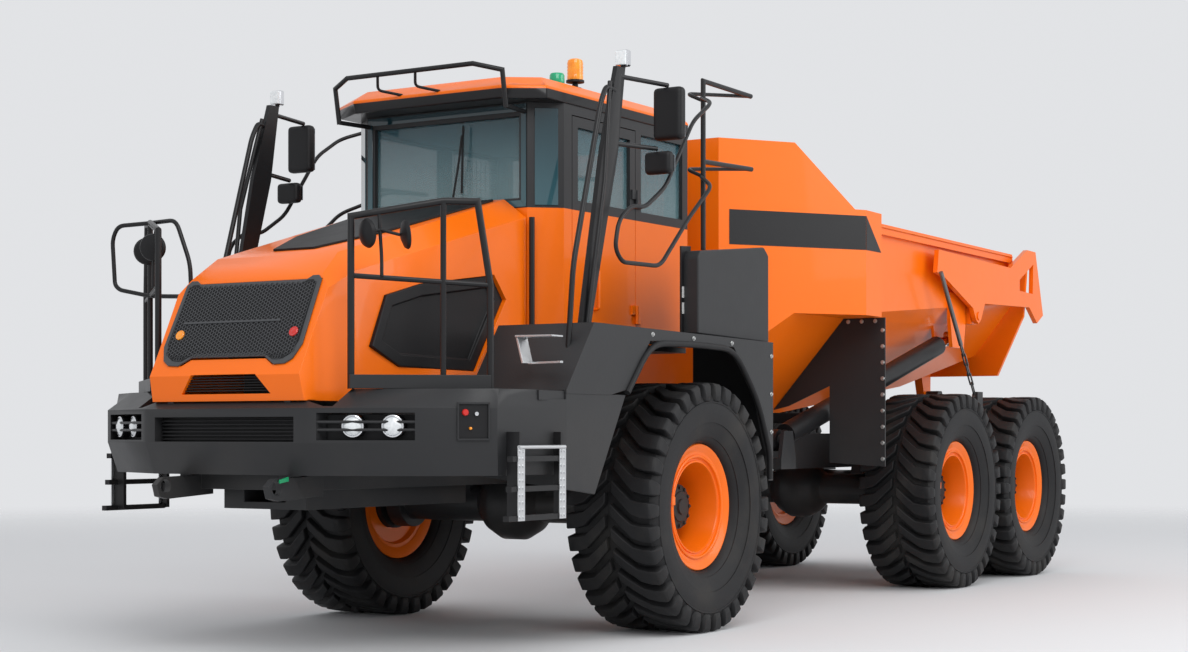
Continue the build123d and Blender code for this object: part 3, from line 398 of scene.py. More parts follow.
# Rims: pressed and rolled steel in three rings, sprayed orange. A wide flange, a split lock ring in
# its gutter, and a deep well down to the disc, where the dark planetary hub stands out of the axle.
orange_paint = dusty_paint("orange paint", (0.90, 0.158, 0.002), 0.30, coat=0.12, dust=0.05)
hub_iron = dusty_paint("hub iron", (0.012, 0.012, 0.013), 0.5, dust=0.12)
rim_section = [
    (0.183, 0.323), (0.186, 0.386), (0.191, 0.3955), (0.199, 0.397), (0.205, 0.392), (0.203, 0.382),
    (0.186, 0.352), (0.178, 0.333), (0.181, 0.329), (0.190, 0.326), (0.193, 0.318), (0.190, 0.311),
    (0.176, 0.308), (0.170, 0.302), (0.170, 0.292), (0.178, 0.289), (0.180, 0.281), (0.172, 0.276),
    (0.080, 0.274), (0.070, 0.268), (-0.060, 0.266), (-0.110, 0.250), (-0.116, 0.235), (-0.116, 0.192),
    (-0.139, 0.192), (-0.139, 0.285), (-0.172, 0.300), (-0.186, 0.386), (-0.199, 0.397), (-0.205, 0.390),
    (-0.192, 0.345), (-0.180, 0.323),
]
hub_section = [
    (-0.179, 0.0), (0.085, 0.0), (0.085, 0.045), (0.073, 0.050), (0.073, 0.092), (0.065, 0.098),
    (0.053, 0.140), (0.020, 0.150), (-0.020, 0.166), (-0.098, 0.168), (-0.100, 0.188), (-0.179, 0.188),
]


def between(low, high, turn=Matrix()):
    """What stretches a unit cube to two corners, turned about its own middle."""
    size = [high[axis] - low[axis] for axis in range(3)]
    middle = [(high[axis] + low[axis]) / 2 for axis in range(3)]
    return Matrix.Translation(middle) @ turn @ Matrix.Diagonal((*size, 1.0))


def block(low, high, edge):
    """A closed block between two corners, its edges taken off by that much."""
    work = bmesh.new()
    bmesh.ops.create_cube(work, size=1.0, matrix=between(low, high))
    bmesh.ops.bevel(work, geom=work.edges[:], offset=edge, segments=1, affect="EDGES")
    return as_mesh("block", work)


def bolt_head(across, height, sides=6):
    """A bolt's head standing up along Y from its seat, with a small washer under it."""
    work = bmesh.new()
    upright = Matrix.Rotation(math.radians(-90), 4, "X")
    washer = (across * 0.75, 0.0, height * 0.25, 14)
    head = (across / 2, height * 0.2, height, sides)
    for radius, low, high, corners in (washer, head):
        shift = Matrix.Translation((0, 0, (low + high) / 2))
        bmesh.ops.create_cone(
            work, cap_ends=True, segments=corners, radius1=radius, radius2=radius * 0.94,
            depth=high - low, matrix=upright @ shift,
        )
    return as_mesh("bolt", work)


facing_out = {1: (0.0, 0.0, 0.0), -1: (math.pi, 0.0, 0.0)}
hub_teeth = 30
tooth_low = (0.180, -0.098, -0.008)
tooth_high = (0.197, -0.078, 0.008)
hub_bolts = 12
bolt_circle = 0.120
bolt_seat = 0.058
clamp_y = 0.186
for wheel in wheel_names:
    centre = wheel_centre[wheel]
    body = "wheel_" + wheel
    outward = 1 if centre.y > 0 else -1
    work = bmesh.new()
    turned(work, rim_section, centre, 112, outward)
    rim = finished("rim_rings_" + wheel, work, orange_paint, body)
    work = bmesh.new()
    turned(work, hub_section, centre, 72, outward)
    finished("hub_" + wheel, work, hub_iron, body)
    tooth = block(tooth_low, tooth_high, 0.002)
    turn_to = [(centre, (0.0, -2 * math.pi * number / hub_teeth, 0.0)) for number in range(hub_teeth)]
    repeated("hub_teeth_" + wheel, tooth, turn_to, hub_iron, body)
    places = []
    for number in range(hub_bolts):
        angle = 2 * math.pi * number / hub_bolts
        offset = Vector((bolt_circle * math.cos(angle), outward * bolt_seat, bolt_circle * math.sin(angle)))
        places.append((centre + offset, facing_out[outward]))
    repeated("hub_bolts_" + wheel, bolt_head(0.022, 0.012), places, hub_iron, body)
    clamp_low = centre + Vector((0.296, outward * clamp_y - 0.010, 0.020))
    clamp_high = centre + Vector((0.338, outward * clamp_y + 0.016, 0.075))
    clamp = block(clamp_low, clamp_high, 0.004)
    clamp.materials.append(orange_paint.material)
    placed("lock_ring_clamp_" + wheel, clamp, body)
    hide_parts("rim_" + wheel)

# Front end: a folded and welded bumper in the dark paint, fenders and boxes of the same sheet, the
# walkway's kick plates and rails of black steel tube, bolted down on the deck.
front_axle = wheel_centre["front_left"].x
black_plastic = dusty_paint("black moulded plastic", (0.007, 0.007, 0.008), 0.5, dust=0.04, wave=0.0006)
rail_paint = dusty_paint("black rail paint", (0.012, 0.012, 0.013), 0.36, dust=0.05)
sheet_edges = {
    "bumper": 0.007, "fenders": 0.006, "side_boxes": 0.012, "cab_deck": 0.003, "kick_plates": 0.003,
    "mudguards": 0.002,
}
for node_name, edge in sheet_edges.items():
    dressed(node_name, dark_paint, edge=edge)
for node_name in ("front_handrails", "mirror_posts", "roof_guard"):
    dressed(node_name, rail_paint, edge=0.002)


def at(x, y, z):
    """A place given from the front axle, in the shared frame."""
    return Vector((front_axle + x, y, z))


def tube(name, points, radius, finish, corner=0.05, body="front_unit"):
    """A bent steel tube through points given from the front axle, its corners rounded, its ends shut."""
    places_a_corner = 6
    most_of_a_run = 0.45
    run = []
    for number, point in enumerate(points):
        here = at(*point)
        if number in (0, len(points) - 1):
            run.append(here)
            continue
        before = at(*points[number - 1]) - here
        after = at(*points[number + 1]) - here
        cut = min(corner, before.length * most_of_a_run, after.length * most_of_a_run)
        first = here + before.normalized() * cut
        last = here + after.normalized() * cut
        for step in range(places_a_corner):
            share = step / (places_a_corner - 1)
            run.append(first * (1 - share) ** 2 + here * 2 * share * (1 - share) + last * share ** 2)
    data = bpy.data.curves.new(name, "CURVE")
    data.dimensions = "3D"
    data.bevel_depth = radius
    data.bevel_resolution = 3
    data.use_fill_caps = True
    spline = data.splines.new("POLY")
    spline.points.add(len(run) - 1)
    for number, place in enumerate(run):
        spline.points[number].co = (*place, 1.0)
    carrier = bpy.data.objects.new(name, data)
    bpy.context.scene.collection.objects.link(carrier)
    graph = bpy.context.evaluated_depsgraph_get()
    mesh = bpy.data.meshes.new_from_object(carrier.evaluated_get(graph), depsgraph=graph)
    bpy.data.objects.remove(carrier)
    work = bmesh.new()
    work.from_mesh(mesh)
    bpy.data.meshes.remove(mesh)
    return finished(name, work, finish, body, sharp=50)


def prism(name, outline, depth, finish, edge=0.002, body="front_unit"):
    """A closed plate: a flat outline in space pushed along a vector, its edges taken off."""
    work = bmesh.new()
    near = [work.verts.new(place) for place in outline]
    far = [work.verts.new(Vector(place) + Vector(depth)) for place in outline]
    work.faces.new(near)
    work.faces.new(far)
    joined(work, near, far)
    bmesh.ops.recalc_face_normals(work, faces=work.faces)
    if edge:
        edges = work.edges[:]
        bmesh.ops.bevel(work, geom=edges, offset=edge, segments=1, affect="EDGES", clamp_overlap=True)
    return finished(name, work, finish, body, sharp=25)


def round_piece(name, section, origin, axis, steps, finish, body="front_unit"):
    """A closed body turned from (depth along its axis, radius) points, its first and last on the axis."""
    work = bmesh.new()
    turn = Vector(axis).to_track_quat("Z", "Y").to_matrix()
    rings = []
    for depth, radius in section:
        ring = []
        for number in range(steps if radius else 1):
            angle = 2 * math.pi * number / steps
            spoke = Vector((radius * math.cos(angle), radius * math.sin(angle), depth))
            ring.append(work.verts.new(Vector(origin) + turn @ spoke))
        rings.append(ring)
    for here, after in zip(rings, rings[1:]):
        for number in range(steps):
            corners = []
            for ring, place in ((here, number), (here, number + 1), (after, number + 1), (after, number)):
                corner = ring[place % len(ring)]
                if corner not in corners:
                    corners.append(corner)
            if len(corners) > 2:
                work.faces.new(corners)
    return finished(name, work, finish, body)


# Headlamps: two round lamps a side in a dark recess behind two steel rods, each a bright pressed
# reflector with its rim, under a clear domed lens.
lamp_glass = Finish("clear lamp glass", (0.86, 0.89, 0.90), 0.06, coat=1.0)
lamp_cloud = lamp_glass.grain(55.0)
lamp_glass.put("Base Color", lamp_glass.mixed(lamp_cloud, (0.50, 0.53, 0.55, 1.0), (0.93, 0.95, 0.95, 1.0)))
lamp_glass.relief(lamp_glass.grain(120.0), 0.0008)
lamp_steel = Finish("pressed lamp reflector", (0.74, 0.75, 0.77), 0.16, metallic=1.0)
lamp_steel.put("Roughness", lamp_steel.grain(30.0) * 0.15 + 0.08)
dressed("bumper_grille", black_plastic, edge=0.0015)
dressed("headlamps", black_plastic, edge=0.003)
both_sides = ((1, "left"), (-1, "right"))
lamp_height = 1.280
lamp_tip = 0.070
bezel = [
    (0.0, 0.0), (0.0, 0.056), (0.004, 0.060), (0.012, 0.059), (0.014, 0.053), (0.006, 0.050), (0.004, 0.0),
]
lens = [(0.004, 0.0), (0.005, 0.049), (0.010, 0.047), (0.018, 0.036), (0.023, 0.018), (0.024, 0.0)]
for side, side_name in both_sides:
    facing = Vector((0.905, side * 0.425, 0)).normalized()
    for number, (lamp_x, lamp_y) in enumerate(((2.640, 0.760), (2.550, 0.955))):
        front = at(lamp_x, side * lamp_y, lamp_height) + facing * lamp_tip
        tag = "%s_%d" % (side_name, number + 1)
        round_piece("headlamp_bezel_" + tag, bezel, front, facing, 40, lamp_steel)
        round_piece("headlamp_lens_" + tag, lens, front, facing, 40, lamp_glass)

# Switch box in the left side panel: a shallow steel frame round a dark well, with a red stop button,
# an amber one and a small key switch, each screwed through the panel.
red_lens = Finish("red plastic", (0.55, 0.02, 0.015), 0.25, coat=0.6)
red_lens.put("Roughness", red_lens.grain(40.0) * 0.1 + 0.2)
amber = Finish("amber lens", (0.92, 0.27, 0.01), 0.18, coat=0.6)
amber.put("Base Color", amber.mixed(amber.grain(25.0), (0.75, 0.17, 0.005, 1.0), (1.0, 0.42, 0.03, 1.0)))
fold_x, fold_y = 2.560, 1.150
end_x, end_y = 2.250, 1.400
corner_face = (Vector((end_x, end_y, 0)) - Vector((fold_x, fold_y, 0))).normalized()
corner_out = Vector((corner_face.y, -corner_face.x, 0))


def on_corner(along, z, out):
    """A place on the bumper's left corner face, measured back from its front fold."""
    return at(fold_x, fold_y, z) + corner_face * along + corner_out * out


frame_growth = 1.12
well = [(0.185, 1.395), (0.185, 1.215), (0.345, 1.215), (0.345, 1.395)]
outline = [on_corner(along, z, 0.0004) for along, z in well]
prism("switch_box_well", outline, corner_out * 0.003, black_plastic, 0.001)
middle = sum(outline, Vector()) / 4
for number in range(4):
    corner = outline[number]
    beyond = outline[(number + 1) % 4]
    grown = [middle + (place - middle) * frame_growth for place in (corner, beyond)] + [beyond, corner]
    name = "switch_box_frame_%d" % (number + 1)
    prism(name, grown, corner_out * 0.012, dark_paint, 0.001)
for name, along, z, radius, finish, part_slot in (
    ("stop_button", 0.220, 1.352, 0.018, red_lens, "amber_lens"),
    ("key_switch", 0.280, 1.345, 0.013, lamp_steel, "rod_chrome"),
    ("test_button", 0.248, 1.268, 0.008, amber, "amber_lens"),
):
    knob = [(0, 0), (0, radius), (0.010, radius), (0.016, radius * 0.8), (0.018, 0)]
    place = on_corner(along, z, 0.003)
    round_piece(name, knob, place, corner_out, 24, finish)

# Ladders: folded from perforated aluminium sheet, two stiles and three treads hung from the bumper's
# side panel by rubber straps, with raised round grips that show as rows of dots.
bare_aluminium = Finish("bare aluminium", (0.60, 0.61, 0.62), 0.38, metallic=0.9)
bare_aluminium.put("Roughness", bare_aluminium.grain(14.0) * 0.25 + 0.25)
bare_aluminium.relief(bare_aluminium.grain(160.0), 0.0004)
dressed("ladders", rail_paint, edge=0.002)


def rectangle(left, right, low, high):
    """The outline of a rectangular plate, as pairs of its own two directions."""
    return [(left, low), (right, low), (right, high), (left, high)]


def side_plate(name, side, outline, y, thickness, finish, edge=0.002):
    """A plate that stands along the truck on that side: its (x, z) outline at y, growing outwards."""
    places = [at(x, side * y, z) for x, z in outline]
    return prism(name, places, (0, side * thickness, 0), finish, edge)


def cross_plate(name, side, outline, x, thickness, finish, edge=0.002, body="front_unit"):
    """A plate that stands across the truck on that side: its (y, z) outline at x, growing along X."""
    places = [at(x, side * y, z) for y, z in outline]
    return prism(name, places, (thickness, 0, 0), finish, edge, body)


grip = bolt_head(0.016, 0.005, sides=12)
grip_rows = 10
grip_step = 0.039
stile_face = 1.4905
stile_sheet = 0.006
stile_half = 0.032
for side, side_name in both_sides:
    places = []
    for x, end_name in ((1.7575, "rear"), (2.1625, "front")):
        stile = rectangle(x - stile_half, x + stile_half, 0.775, 1.165)
        name = "ladder_stile_%s_%s" % (side_name, end_name)
        side_plate(name, side, stile, stile_face, stile_sheet, bare_aluminium, 0.001)
        for row in range(grip_rows):
            for column in (-0.015, 0.015):
                place = at(x + column, side * (stile_face + stile_sheet), 0.795 + grip_step * row)
                places.append((place, facing_out[side]))
    repeated("ladder_grips_" + side_name, grip, places, bare_aluminium, "front_unit")

# Tow eye clip: one piece of moulded green plastic, pushed over the left tow eye under the bumper,
# where it marks the eye and keeps its pin in.
green_plastic = Finish("green plastic", (0.01, 0.30, 0.12), 0.3, coat=0.4)
green_plastic.put("Roughness", green_plastic.grain(30.0) * 0.15 + 0.25)
clip = [(2.800, 0.985), (2.870, 0.975), (2.870, 0.995), (2.800, 1.010)]
side_plate("tow_eye_clip", 1, clip, 0.421, 0.012, green_plastic)

# Hood: one pressed shell in orange with a black panel on its top and dark dished inserts in its
# sides. In front a grey sheet, flush in the shell, carries a black steel one with hexagonal holes.
# A black plate behind the holes paints the shade of the space behind the grille.
dressed("hood", orange_paint, edge=0.010)
dressed("hood_recesses", black_plastic, edge=0.008)
dressed("hood_top_panel", black_plastic, edge=0.003)
rim_grey = dusty_paint("grey grille rim", (0.060, 0.062, 0.066), 0.4, dust=0.05)
sheet_foot = at(2.8430, 0, 1.556)
sheet_up = (at(2.5700, 0, 2.110) - sheet_foot).normalized()
sheet_out = Vector((sheet_up.z, 0, -sheet_up.x))
sheet_turn = (0.0, math.atan2(sheet_up.x, sheet_up.z), 0.0)
half_sheet = [
    # across from the middle, up the slope: from the top edge round to the bottom edge
    (0.0, 0.578), (0.385, 0.578), (0.420, 0.602), (0.462, 0.602), (0.488, 0.575), (0.500, 0.180),
    (0.465, 0.092), (0.420, 0.062), (0.345, 0.058), (0.262, 0.108), (0.0, 0.108),
]
sheet_middle = 0.330
margin_ratio = 1.9


def on_sheet(y, up, out):
    """A place on the hood's front slope: across, up the slope from its fold, and out of it."""
    return sheet_foot + sheet_up * up + sheet_out * out + Vector((0, y, 0))


def both_sides_of_sheet(share, out):
    """The grille's outline at that share of its size, with the same margin above and beside it."""
    tall_share = 1 - (1 - share) * margin_ratio
    half = [(y * share, sheet_middle + (up - sheet_middle) * tall_share) for y, up in half_sheet]
    points = half + [(-y, up) for y, up in reversed(half[1:-1])]
    return [on_sheet(y, up, out) for y, up in points]


def hood_plate(name, outline, thickness, finish, edge):
    """A plate that lies on the hood's front slope and tilts with the hood."""
    return prism(name, outline, sheet_out * thickness, finish, edge, "hood_unit")


grille_rim = hood_plate("hood_grille_rim", both_sides_of_sheet(1.0, 0.001), 0.010, rim_grey, 0.002)
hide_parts("hood_grille")
# Painted shade: a plain black plate behind the punched mesh stands for the dark space behind the grille.
hood_plate("hood_grille_back", both_sides_of_sheet(0.945, 0.0105), 0.002, black_plastic, 0.0)


def hexagon_hole(radius, wall, depth):
    """A short six-sided tube along X, closed all round: one hole of a punched sheet with its web."""
    work = bmesh.new()
    rings = []
    for depth_now, reach in ((0.0, radius), (depth, radius), (depth, radius - wall), (0.0, radius - wall)):
        ring = []
        for corner in range(6):
            angle = math.pi / 3 * corner
            ring.append(work.verts.new((depth_now, reach * math.cos(angle), reach * math.sin(angle))))
        rings.append(ring)
    for number in range(4):
        joined(work, rings[number], rings[(number + 1) % 4])
    bmesh.ops.recalc_face_normals(work, faces=work.faces)
    return as_mesh("hole", work)


hole_radius = 0.0125
hole_web = 0.0022
punched_depth = 0.003
punched_out = 0.0125
grille_bottom = 0.118
grille_top = 0.560
low_row = 0.098
places = []
column_step = 1.5 * hole_radius
row_step = math.sqrt(3) * hole_radius
for column in range(-24, 25):
    across = column * column_step
    up = grille_bottom + (row_step / 2 if column % 2 else 0.0)
    while up < grille_top:
        # the mesh narrows a little upwards, and quickly into its two lower corners
        half_width = min(0.462 - (up - 0.150) * 0.018, 0.385 + (up - 0.075) * 1.1)
        if abs(across) < half_width:
            places.append((on_sheet(across, up, punched_out), sheet_turn))
        up += row_step
for column in (-20, -19, -18, 18, 19, 20):
    places.append((on_sheet(column * column_step, low_row, punched_out), sheet_turn))
hole = hexagon_hole(hole_radius, hole_web, punched_depth)
repeated("hood_grille_mesh", hole, places, rim_grey, "hood_unit", 20)
bar_line = [on_sheet(y, up, 0.013) for y, up in rectangle(-0.400, 0.300, 0.318, 0.330)]
hood_plate("hood_grille_bar", bar_line, 0.007, rim_grey, 0.001)
disc = [(0, 0), (0, 0.029), (0.006, 0.029), (0.009, 0.025), (0.007, 0.018), (0.010, 0.010), (0.011, 0)]
for name, y, finish in (
    ("grille_reflector_right", -0.400, amber),
    ("grille_reflector_left", 0.420, red_lens),
):
    centre = on_sheet(y, 0.250, 0.014)
    round_piece(name, disc, centre, sheet_out, 36, finish, "hood_unit")
slats = 6
slat_step = 0.0145
slat_high = 0.006
vent_narrowing = 0.085 / 0.105
vent_lean = 0.1625
for number in range(slats):
    height = 1.470 + slat_step * number
    half = 0.315 - (height - 1.455) * vent_narrowing
    foot_x = 2.797 + (height - 1.460) * vent_lean
    slat = rectangle(-half, half, height, height + slat_high)
    name = "hood_vent_slat_%d" % (number + 1)
    cross_plate(name, 1, slat, foot_x, 0.012, black_plastic, 0.001, "hood_unit")

# Cab: pressed steel lower panels in orange, a dark upper frame that holds the tinted panes in rubber
# seals, a moulded roof with a black underside, and mesh guards behind the rear side windows.
window_glass = Finish("tinted window glass", (0.11, 0.22, 0.25), 0.03, coat=1.0)
window_glass.put("Alpha", 0.52)
dark_glass = Finish("dark window glass", (0.02, 0.06, 0.075), 0.03, coat=0.8)
# Both glasses darken upwards: a painted shade, deepest at the top of each pane, over the glass's own
# blue-green tint.
for finish, low, high, low_unshaded_colour, high_painted_shade in (
    (window_glass, 2.6, 3.3, (0.16, 0.27, 0.29, 1.0), (0.03, 0.10, 0.13, 1.0)),
    (dark_glass, 2.55, 3.25, (0.035, 0.095, 0.115, 1.0), (0.008, 0.030, 0.040, 1.0)),
):
    shade = finish.smooth_step(finish.along("Z"), low, high)
    finish.put("Base Color", finish.mixed(shade, low_unshaded_colour, high_painted_shade))
    finish.put("Roughness", finish.grain(6.0) * 0.03 + 0.02)
rubber_seal = Finish("rubber seal", (0.012, 0.012, 0.013), 0.7)
rubber_seal.put("Roughness", rubber_seal.grain(50.0) * 0.15 + 0.6)


def on_side(side, points):
    """Points given for the left side, or mirrored for the right one."""
    return [(x, side * y, z) for x, y, z in points]


for side, side_name in both_sides:
    front_edge = Vector((0.800, side * 0.620, 0))
    rear_edge = Vector((0.650, side * 0.790, 0))
    run = (rear_edge - front_edge).normalized()
    out = Vector((0.17, side * 0.15, 0)).normalized()
    start = at(0, 0, 0) + front_edge + out * 0.001
    pane = [start + run * along + Vector((0, 0, z)) for along, z in rectangle(0.045, 0.190, 2.640, 3.235)]
    prism("corner_window_" + side_name, pane, out * 0.006, dark_glass)
    pipe = on_side(side, [(0.822, 0.668, 1.830), (0.822, 0.668, 2.560)])
    tube("cab_corner_pipe_" + side_name, pipe, 0.018, rail_paint)
border = [(0.612, 2.630), (0.612, 3.262), (-0.612, 3.262), (-0.612, 2.630)]
inside = [(0.575, 2.672), (0.575, 3.215), (-0.575, 3.215), (-0.575, 2.672)]
for number in range(4):
    beyond = (number + 1) % 4
    strip = [border[number], border[beyond], inside[beyond], inside[number]]
    name = "windscreen_border_%d" % (number + 1)
    cross_plate(name, 1, strip, 0.801, 0.005, dark_glass, 0.001)
dressed("cab_lower", orange_paint, edge=0.010)
dressed("cab_frame", dark_paint, edge=0.008)
roof_name = "roof paint with a black underside"
roof_paint = dusty_paint(roof_name, (0.90, 0.158, 0.002), 0.30, coat=0.12, dust=0.03)
roof_height = roof_paint.along("Z")
under_black = 1 - roof_paint.smooth_step(roof_height, 3.328, 3.332)
roof_tone = roof_paint.mixed(roof_paint.grain(1.7), (0.84, 0.147, 0.002, 1.0), (0.94, 0.166, 0.002, 1.0))
roof_paint.put("Base Color", roof_paint.mixed(under_black, roof_tone, (0.010, 0.010, 0.011, 1.0)))
dressed("cab_roof", roof_paint, edge=0.014)
dressed("cab_glass", window_glass, edge=0.0008)
dressed("door_panel", orange_paint, edge=0.008)
dressed("door_frame", dark_paint, edge=0.006)
dressed("door_glass", window_glass, edge=0.0008)
handle_x = 0.300
handle_root = 0.791
handle_grip = 0.826
handle = [(handle_x, y, z) for y, z in rectangle(handle_root, handle_grip, 2.02, 2.26)]
tube("door_handle", handle, 0.011, orange_paint, 0.02, "door")
guard_y = 0.738
wire_radius = 0.0022
guard_uprights = 10
guard_levels = 8
mesh_low, mesh_high = 2.70, 3.18
mesh_front, mesh_rear = -0.290, -0.825
for side, side_name in both_sides:
    for number in range(guard_uprights):
        x = mesh_front + (mesh_rear - mesh_front) * (number + 0.5) / guard_uprights
        wire = on_side(side, [(x, guard_y, mesh_low), (x, guard_y, mesh_high)])
        name = "window_guard_upright_%s_%d" % (side_name, number + 1)
        tube(name, wire, wire_radius, rail_paint)
    for number in range(guard_levels):
        z = mesh_low + (mesh_high - mesh_low) * (number + 0.5) / guard_levels
        level_y = guard_y - 2 * wire_radius
        wire = on_side(side, [(mesh_front, level_y, z), (mesh_rear, level_y, z)])
        name = "window_guard_level_%s_%d" % (side_name, number + 1)
        tube(name, wire, wire_radius, rail_paint)
wiper = [(0.812, 0.05, 2.62), (0.818, 0.12, 2.95), (0.818, 0.14, 3.10)]
tube("wiper_arm", wiper, 0.007, rubber_seal, 0.02)
blade = [(0.128, 2.74), (0.140, 2.74), (0.152, 3.16), (0.140, 3.16)]
cross_plate("wiper_blade", 1, blade, 0.806, 0.010, rubber_seal, 0.001)

# Operator's place: a sprung seat with two padded cushions in black cloth, and the steering column in
# moulded plastic with a thick rimmed wheel.
seat_cloth = Finish("woven seat cloth", (0.03, 0.031, 0.034), 0.9)
weave_sockets = {"Vector": seat_cloth.place, "Scale": 260.0}
weave = seat_cloth.add("TexWave", {"wave_type": "BANDS"}, weave_sockets, out="Fac")
seat_cloth.put("Base Color", seat_cloth.mixed(weave, (0.018, 0.019, 0.021, 1.0), (0.055, 0.057, 0.062, 1.0)))
seat_cloth.relief(weave, 0.0005)
dressed("steering_column", black_plastic, edge=0.012)


def cushion(name, low, high, crown, lean=0.0):
    """A crowned pad: a closed block pulled in at its corners and raised in the middle."""
    seam_place, seam_width, seam_share = 0.55, 0.05, 0.10
    edge_fall, side_pull, end_pull = 0.16, 0.06, 0.04
    work = bmesh.new()
    bmesh.ops.create_cube(work, size=1.0)
    bmesh.ops.subdivide_edges(work, edges=work.edges[:], cuts=11, use_grid_fill=True)
    for vertex in work.verts:
        x, y, z = (2 * value for value in vertex.co)
        bulge = (1 - x * x) * (1 - y * y)
        seam = seam_share * math.exp(-((abs(y) - seam_place) / seam_width) ** 2)
        rise = crown * (bulge - seam) if z > 0 else 0.0
        z = z * (1 - edge_fall * max(abs(x), abs(y)) ** 4) + rise
        x *= 1 - side_pull * y * y
        y *= 1 - end_pull * x * x
        vertex.co = (x / 2, y / 2, z / 2)
    shape = between(at(*low), at(*high), Matrix.Rotation(lean, 4, "Y"))
    bmesh.ops.transform(work, matrix=shape, verts=work.verts)
    piece = finished(name, work, seat_cloth, "front_unit", sharp=70)
    return piece


base_line = rectangle(-0.420, 0.060, 1.861, 2.118)
base_places = [at(x, -0.200, z) for x, z in base_line]
seat_base = prism("seat_base", base_places, (0, 0.400, 0), black_plastic, 0.02)
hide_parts("operator_seat")
back_lean = math.radians(80)
cushion("seat_cushion", (-0.440, -0.260, 2.120), (0.080, 0.260, 2.258), 0.10)
cushion("seat_back", (-0.800, -0.250, 2.555), (-0.060, 0.250, 2.665), 0.12, lean=back_lean)

# Roof, mirrors and rails: an amber beacon on a rubber stalk and a green lamp beside it, white work
# lamps on the mirror posts, mirrors in black moulded shells, and bent tube rails round the platform.
green_lens = Finish("green lens", (0.01, 0.34, 0.16), 0.2, coat=0.6)
green_lens.put("Roughness", green_lens.grain(30.0) * 0.1 + 0.15)
upward = (0, 0, 1)
roof_top = 3.4155
roof_lamp_y = 0.640
beacon_foot = at(0.286, roof_lamp_y, roof_top)
stalk = [
    (0, 0), (0, 0.040), (0.012, 0.042), (0.018, 0.020), (0.040, 0.018), (0.046, 0.058), (0.060, 0.058),
    (0.062, 0),
]
beacon_base = round_piece("beacon_base", stalk, beacon_foot, upward, 36, black_plastic)
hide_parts("beacon")
dome_ribs = 5
dome_rib_step = 0.020
dome = [(0.062, 0), (0.062, 0.050), (0.078, 0.052)]
for number in range(dome_ribs):
    rib = dome_rib_step * number
    dome += [(0.084 + rib, 0.052), (0.094 + rib, 0.0495)]
dome += [(0.186, 0.047), (0.194, 0.036), (0.195, 0)]
round_piece("beacon_dome", dome, beacon_foot, upward, 40, amber)
green_lamp = [(0, 0), (0, 0.044), (0.010, 0.048), (0.060, 0.047), (0.072, 0.040), (0.075, 0)]
green_foot = at(0.497, roof_lamp_y, roof_top)
round_piece("green_lamp", green_lamp, green_foot, upward, 36, green_lens)


post_y = 1.335


def lamp_face(share):
    """The work lamp's outline, seen from the front, at that share of its size."""
    half_wide = 0.043 * share
    half_tall = 0.049 * share
    middle = 3.457
    return rectangle(post_y - half_wide, post_y + half_wide, middle - half_tall, middle + half_tall)


lamp_stub = [(0, 0), (0, 0.014), (0.012, 0.014), (0.012, 0)]
for side, side_name in both_sides:
    name = "work_lamp_body_" + side_name
    lamp_body = cross_plate(name, side, lamp_face(1.0), 0.826, 0.046, lamp_steel, 0.008)
    if side > 0:
        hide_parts("work_lamps")
    name = "work_lamp_lens_" + side_name
    cross_plate(name, side, lamp_face(0.86), 0.873, 0.012, lamp_glass, 0.004)
    foot = at(0.850, side * post_y, 3.400)
    round_piece("work_lamp_foot_" + side_name, lamp_stub, foot, upward, 20, rail_paint)


def shell(name, low, high):
    """A moulded shell of black plastic with softly rounded edges."""
    corner_share = 0.47
    work = bmesh.new()
    bmesh.ops.create_cube(work, size=1.0, matrix=between(at(*low), at(*high)))
    reach = min(high[0] - low[0], high[1] - low[1]) * corner_share
    bmesh.ops.bevel(work, geom=work.edges[:], offset=reach, segments=5, profile=0.6, affect="EDGES")
    return finished(name, work, black_plastic, "front_unit", sharp=50)


mirror_glass = Finish("mirror glass", (0.62, 0.66, 0.70), 0.04, metallic=1.0)
mirror_glass.put("Roughness", mirror_glass.grain(8.0) * 0.03 + 0.02)
mirror_cases = (
    # kind, x of the glass and of the back, inner and outer y, foot, head, the glass's margin
    ("tall", 0.446, 0.520, 1.340, 1.540, 3.012, 3.330, 0.018),
    ("wide", 0.572, 0.640, 1.350, 1.530, 2.792, 2.928, 0.020),
)
glass_inner, glass_outer = 1.352, 1.528
loop_y = 1.482
loop = [
    (-0.110, post_y, 3.360), (0.020, 1.478, 3.300), (0.264, loop_y, 3.153), (0.606, loop_y, 2.714),
    (0.850, loop_y, 2.567), (0.996, loop_y, 2.567), (1.143, loop_y, 2.470), (1.185, loop_y, 2.304),
    (1.107, loop_y, 2.229), (0.670, loop_y, 2.236), (0.304, loop_y, 2.567), (0.020, 1.478, 2.780),
    (-0.110, post_y, 2.860),
]
for side, side_name in both_sides:
    for kind, face, back, inner, outer, foot, head, margin in mirror_cases:
        y0, y1 = sorted((side * inner, side * outer))
        case = shell("mirror_%s_%s" % (kind, side_name), (face, y0, foot), (back, y1, head))
        if kind == "tall" and side > 0:
            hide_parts("mirrors")
        glass = rectangle(glass_inner, glass_outer, foot + margin, head - margin)
        name = "mirror_%s_glass_%s" % (kind, side_name)
        cross_plate(name, side, glass, face - 0.0005, -0.003, mirror_glass, 0.001)
    tube("platform_loop_" + side_name, on_side(side, loop), 0.013, rail_paint, 0.07)
    for kind, height in (("upper", 3.465), ("lower", 2.985)):
        brace = [(-0.130, post_y, height - 0.120), (-0.150, 1.200, height - 0.060), (-0.780, post_y, height)]
        name = "platform_brace_%s_%s" % (kind, side_name)
        tube(name, on_side(side, brace), 0.012, rail_paint, 0.06)

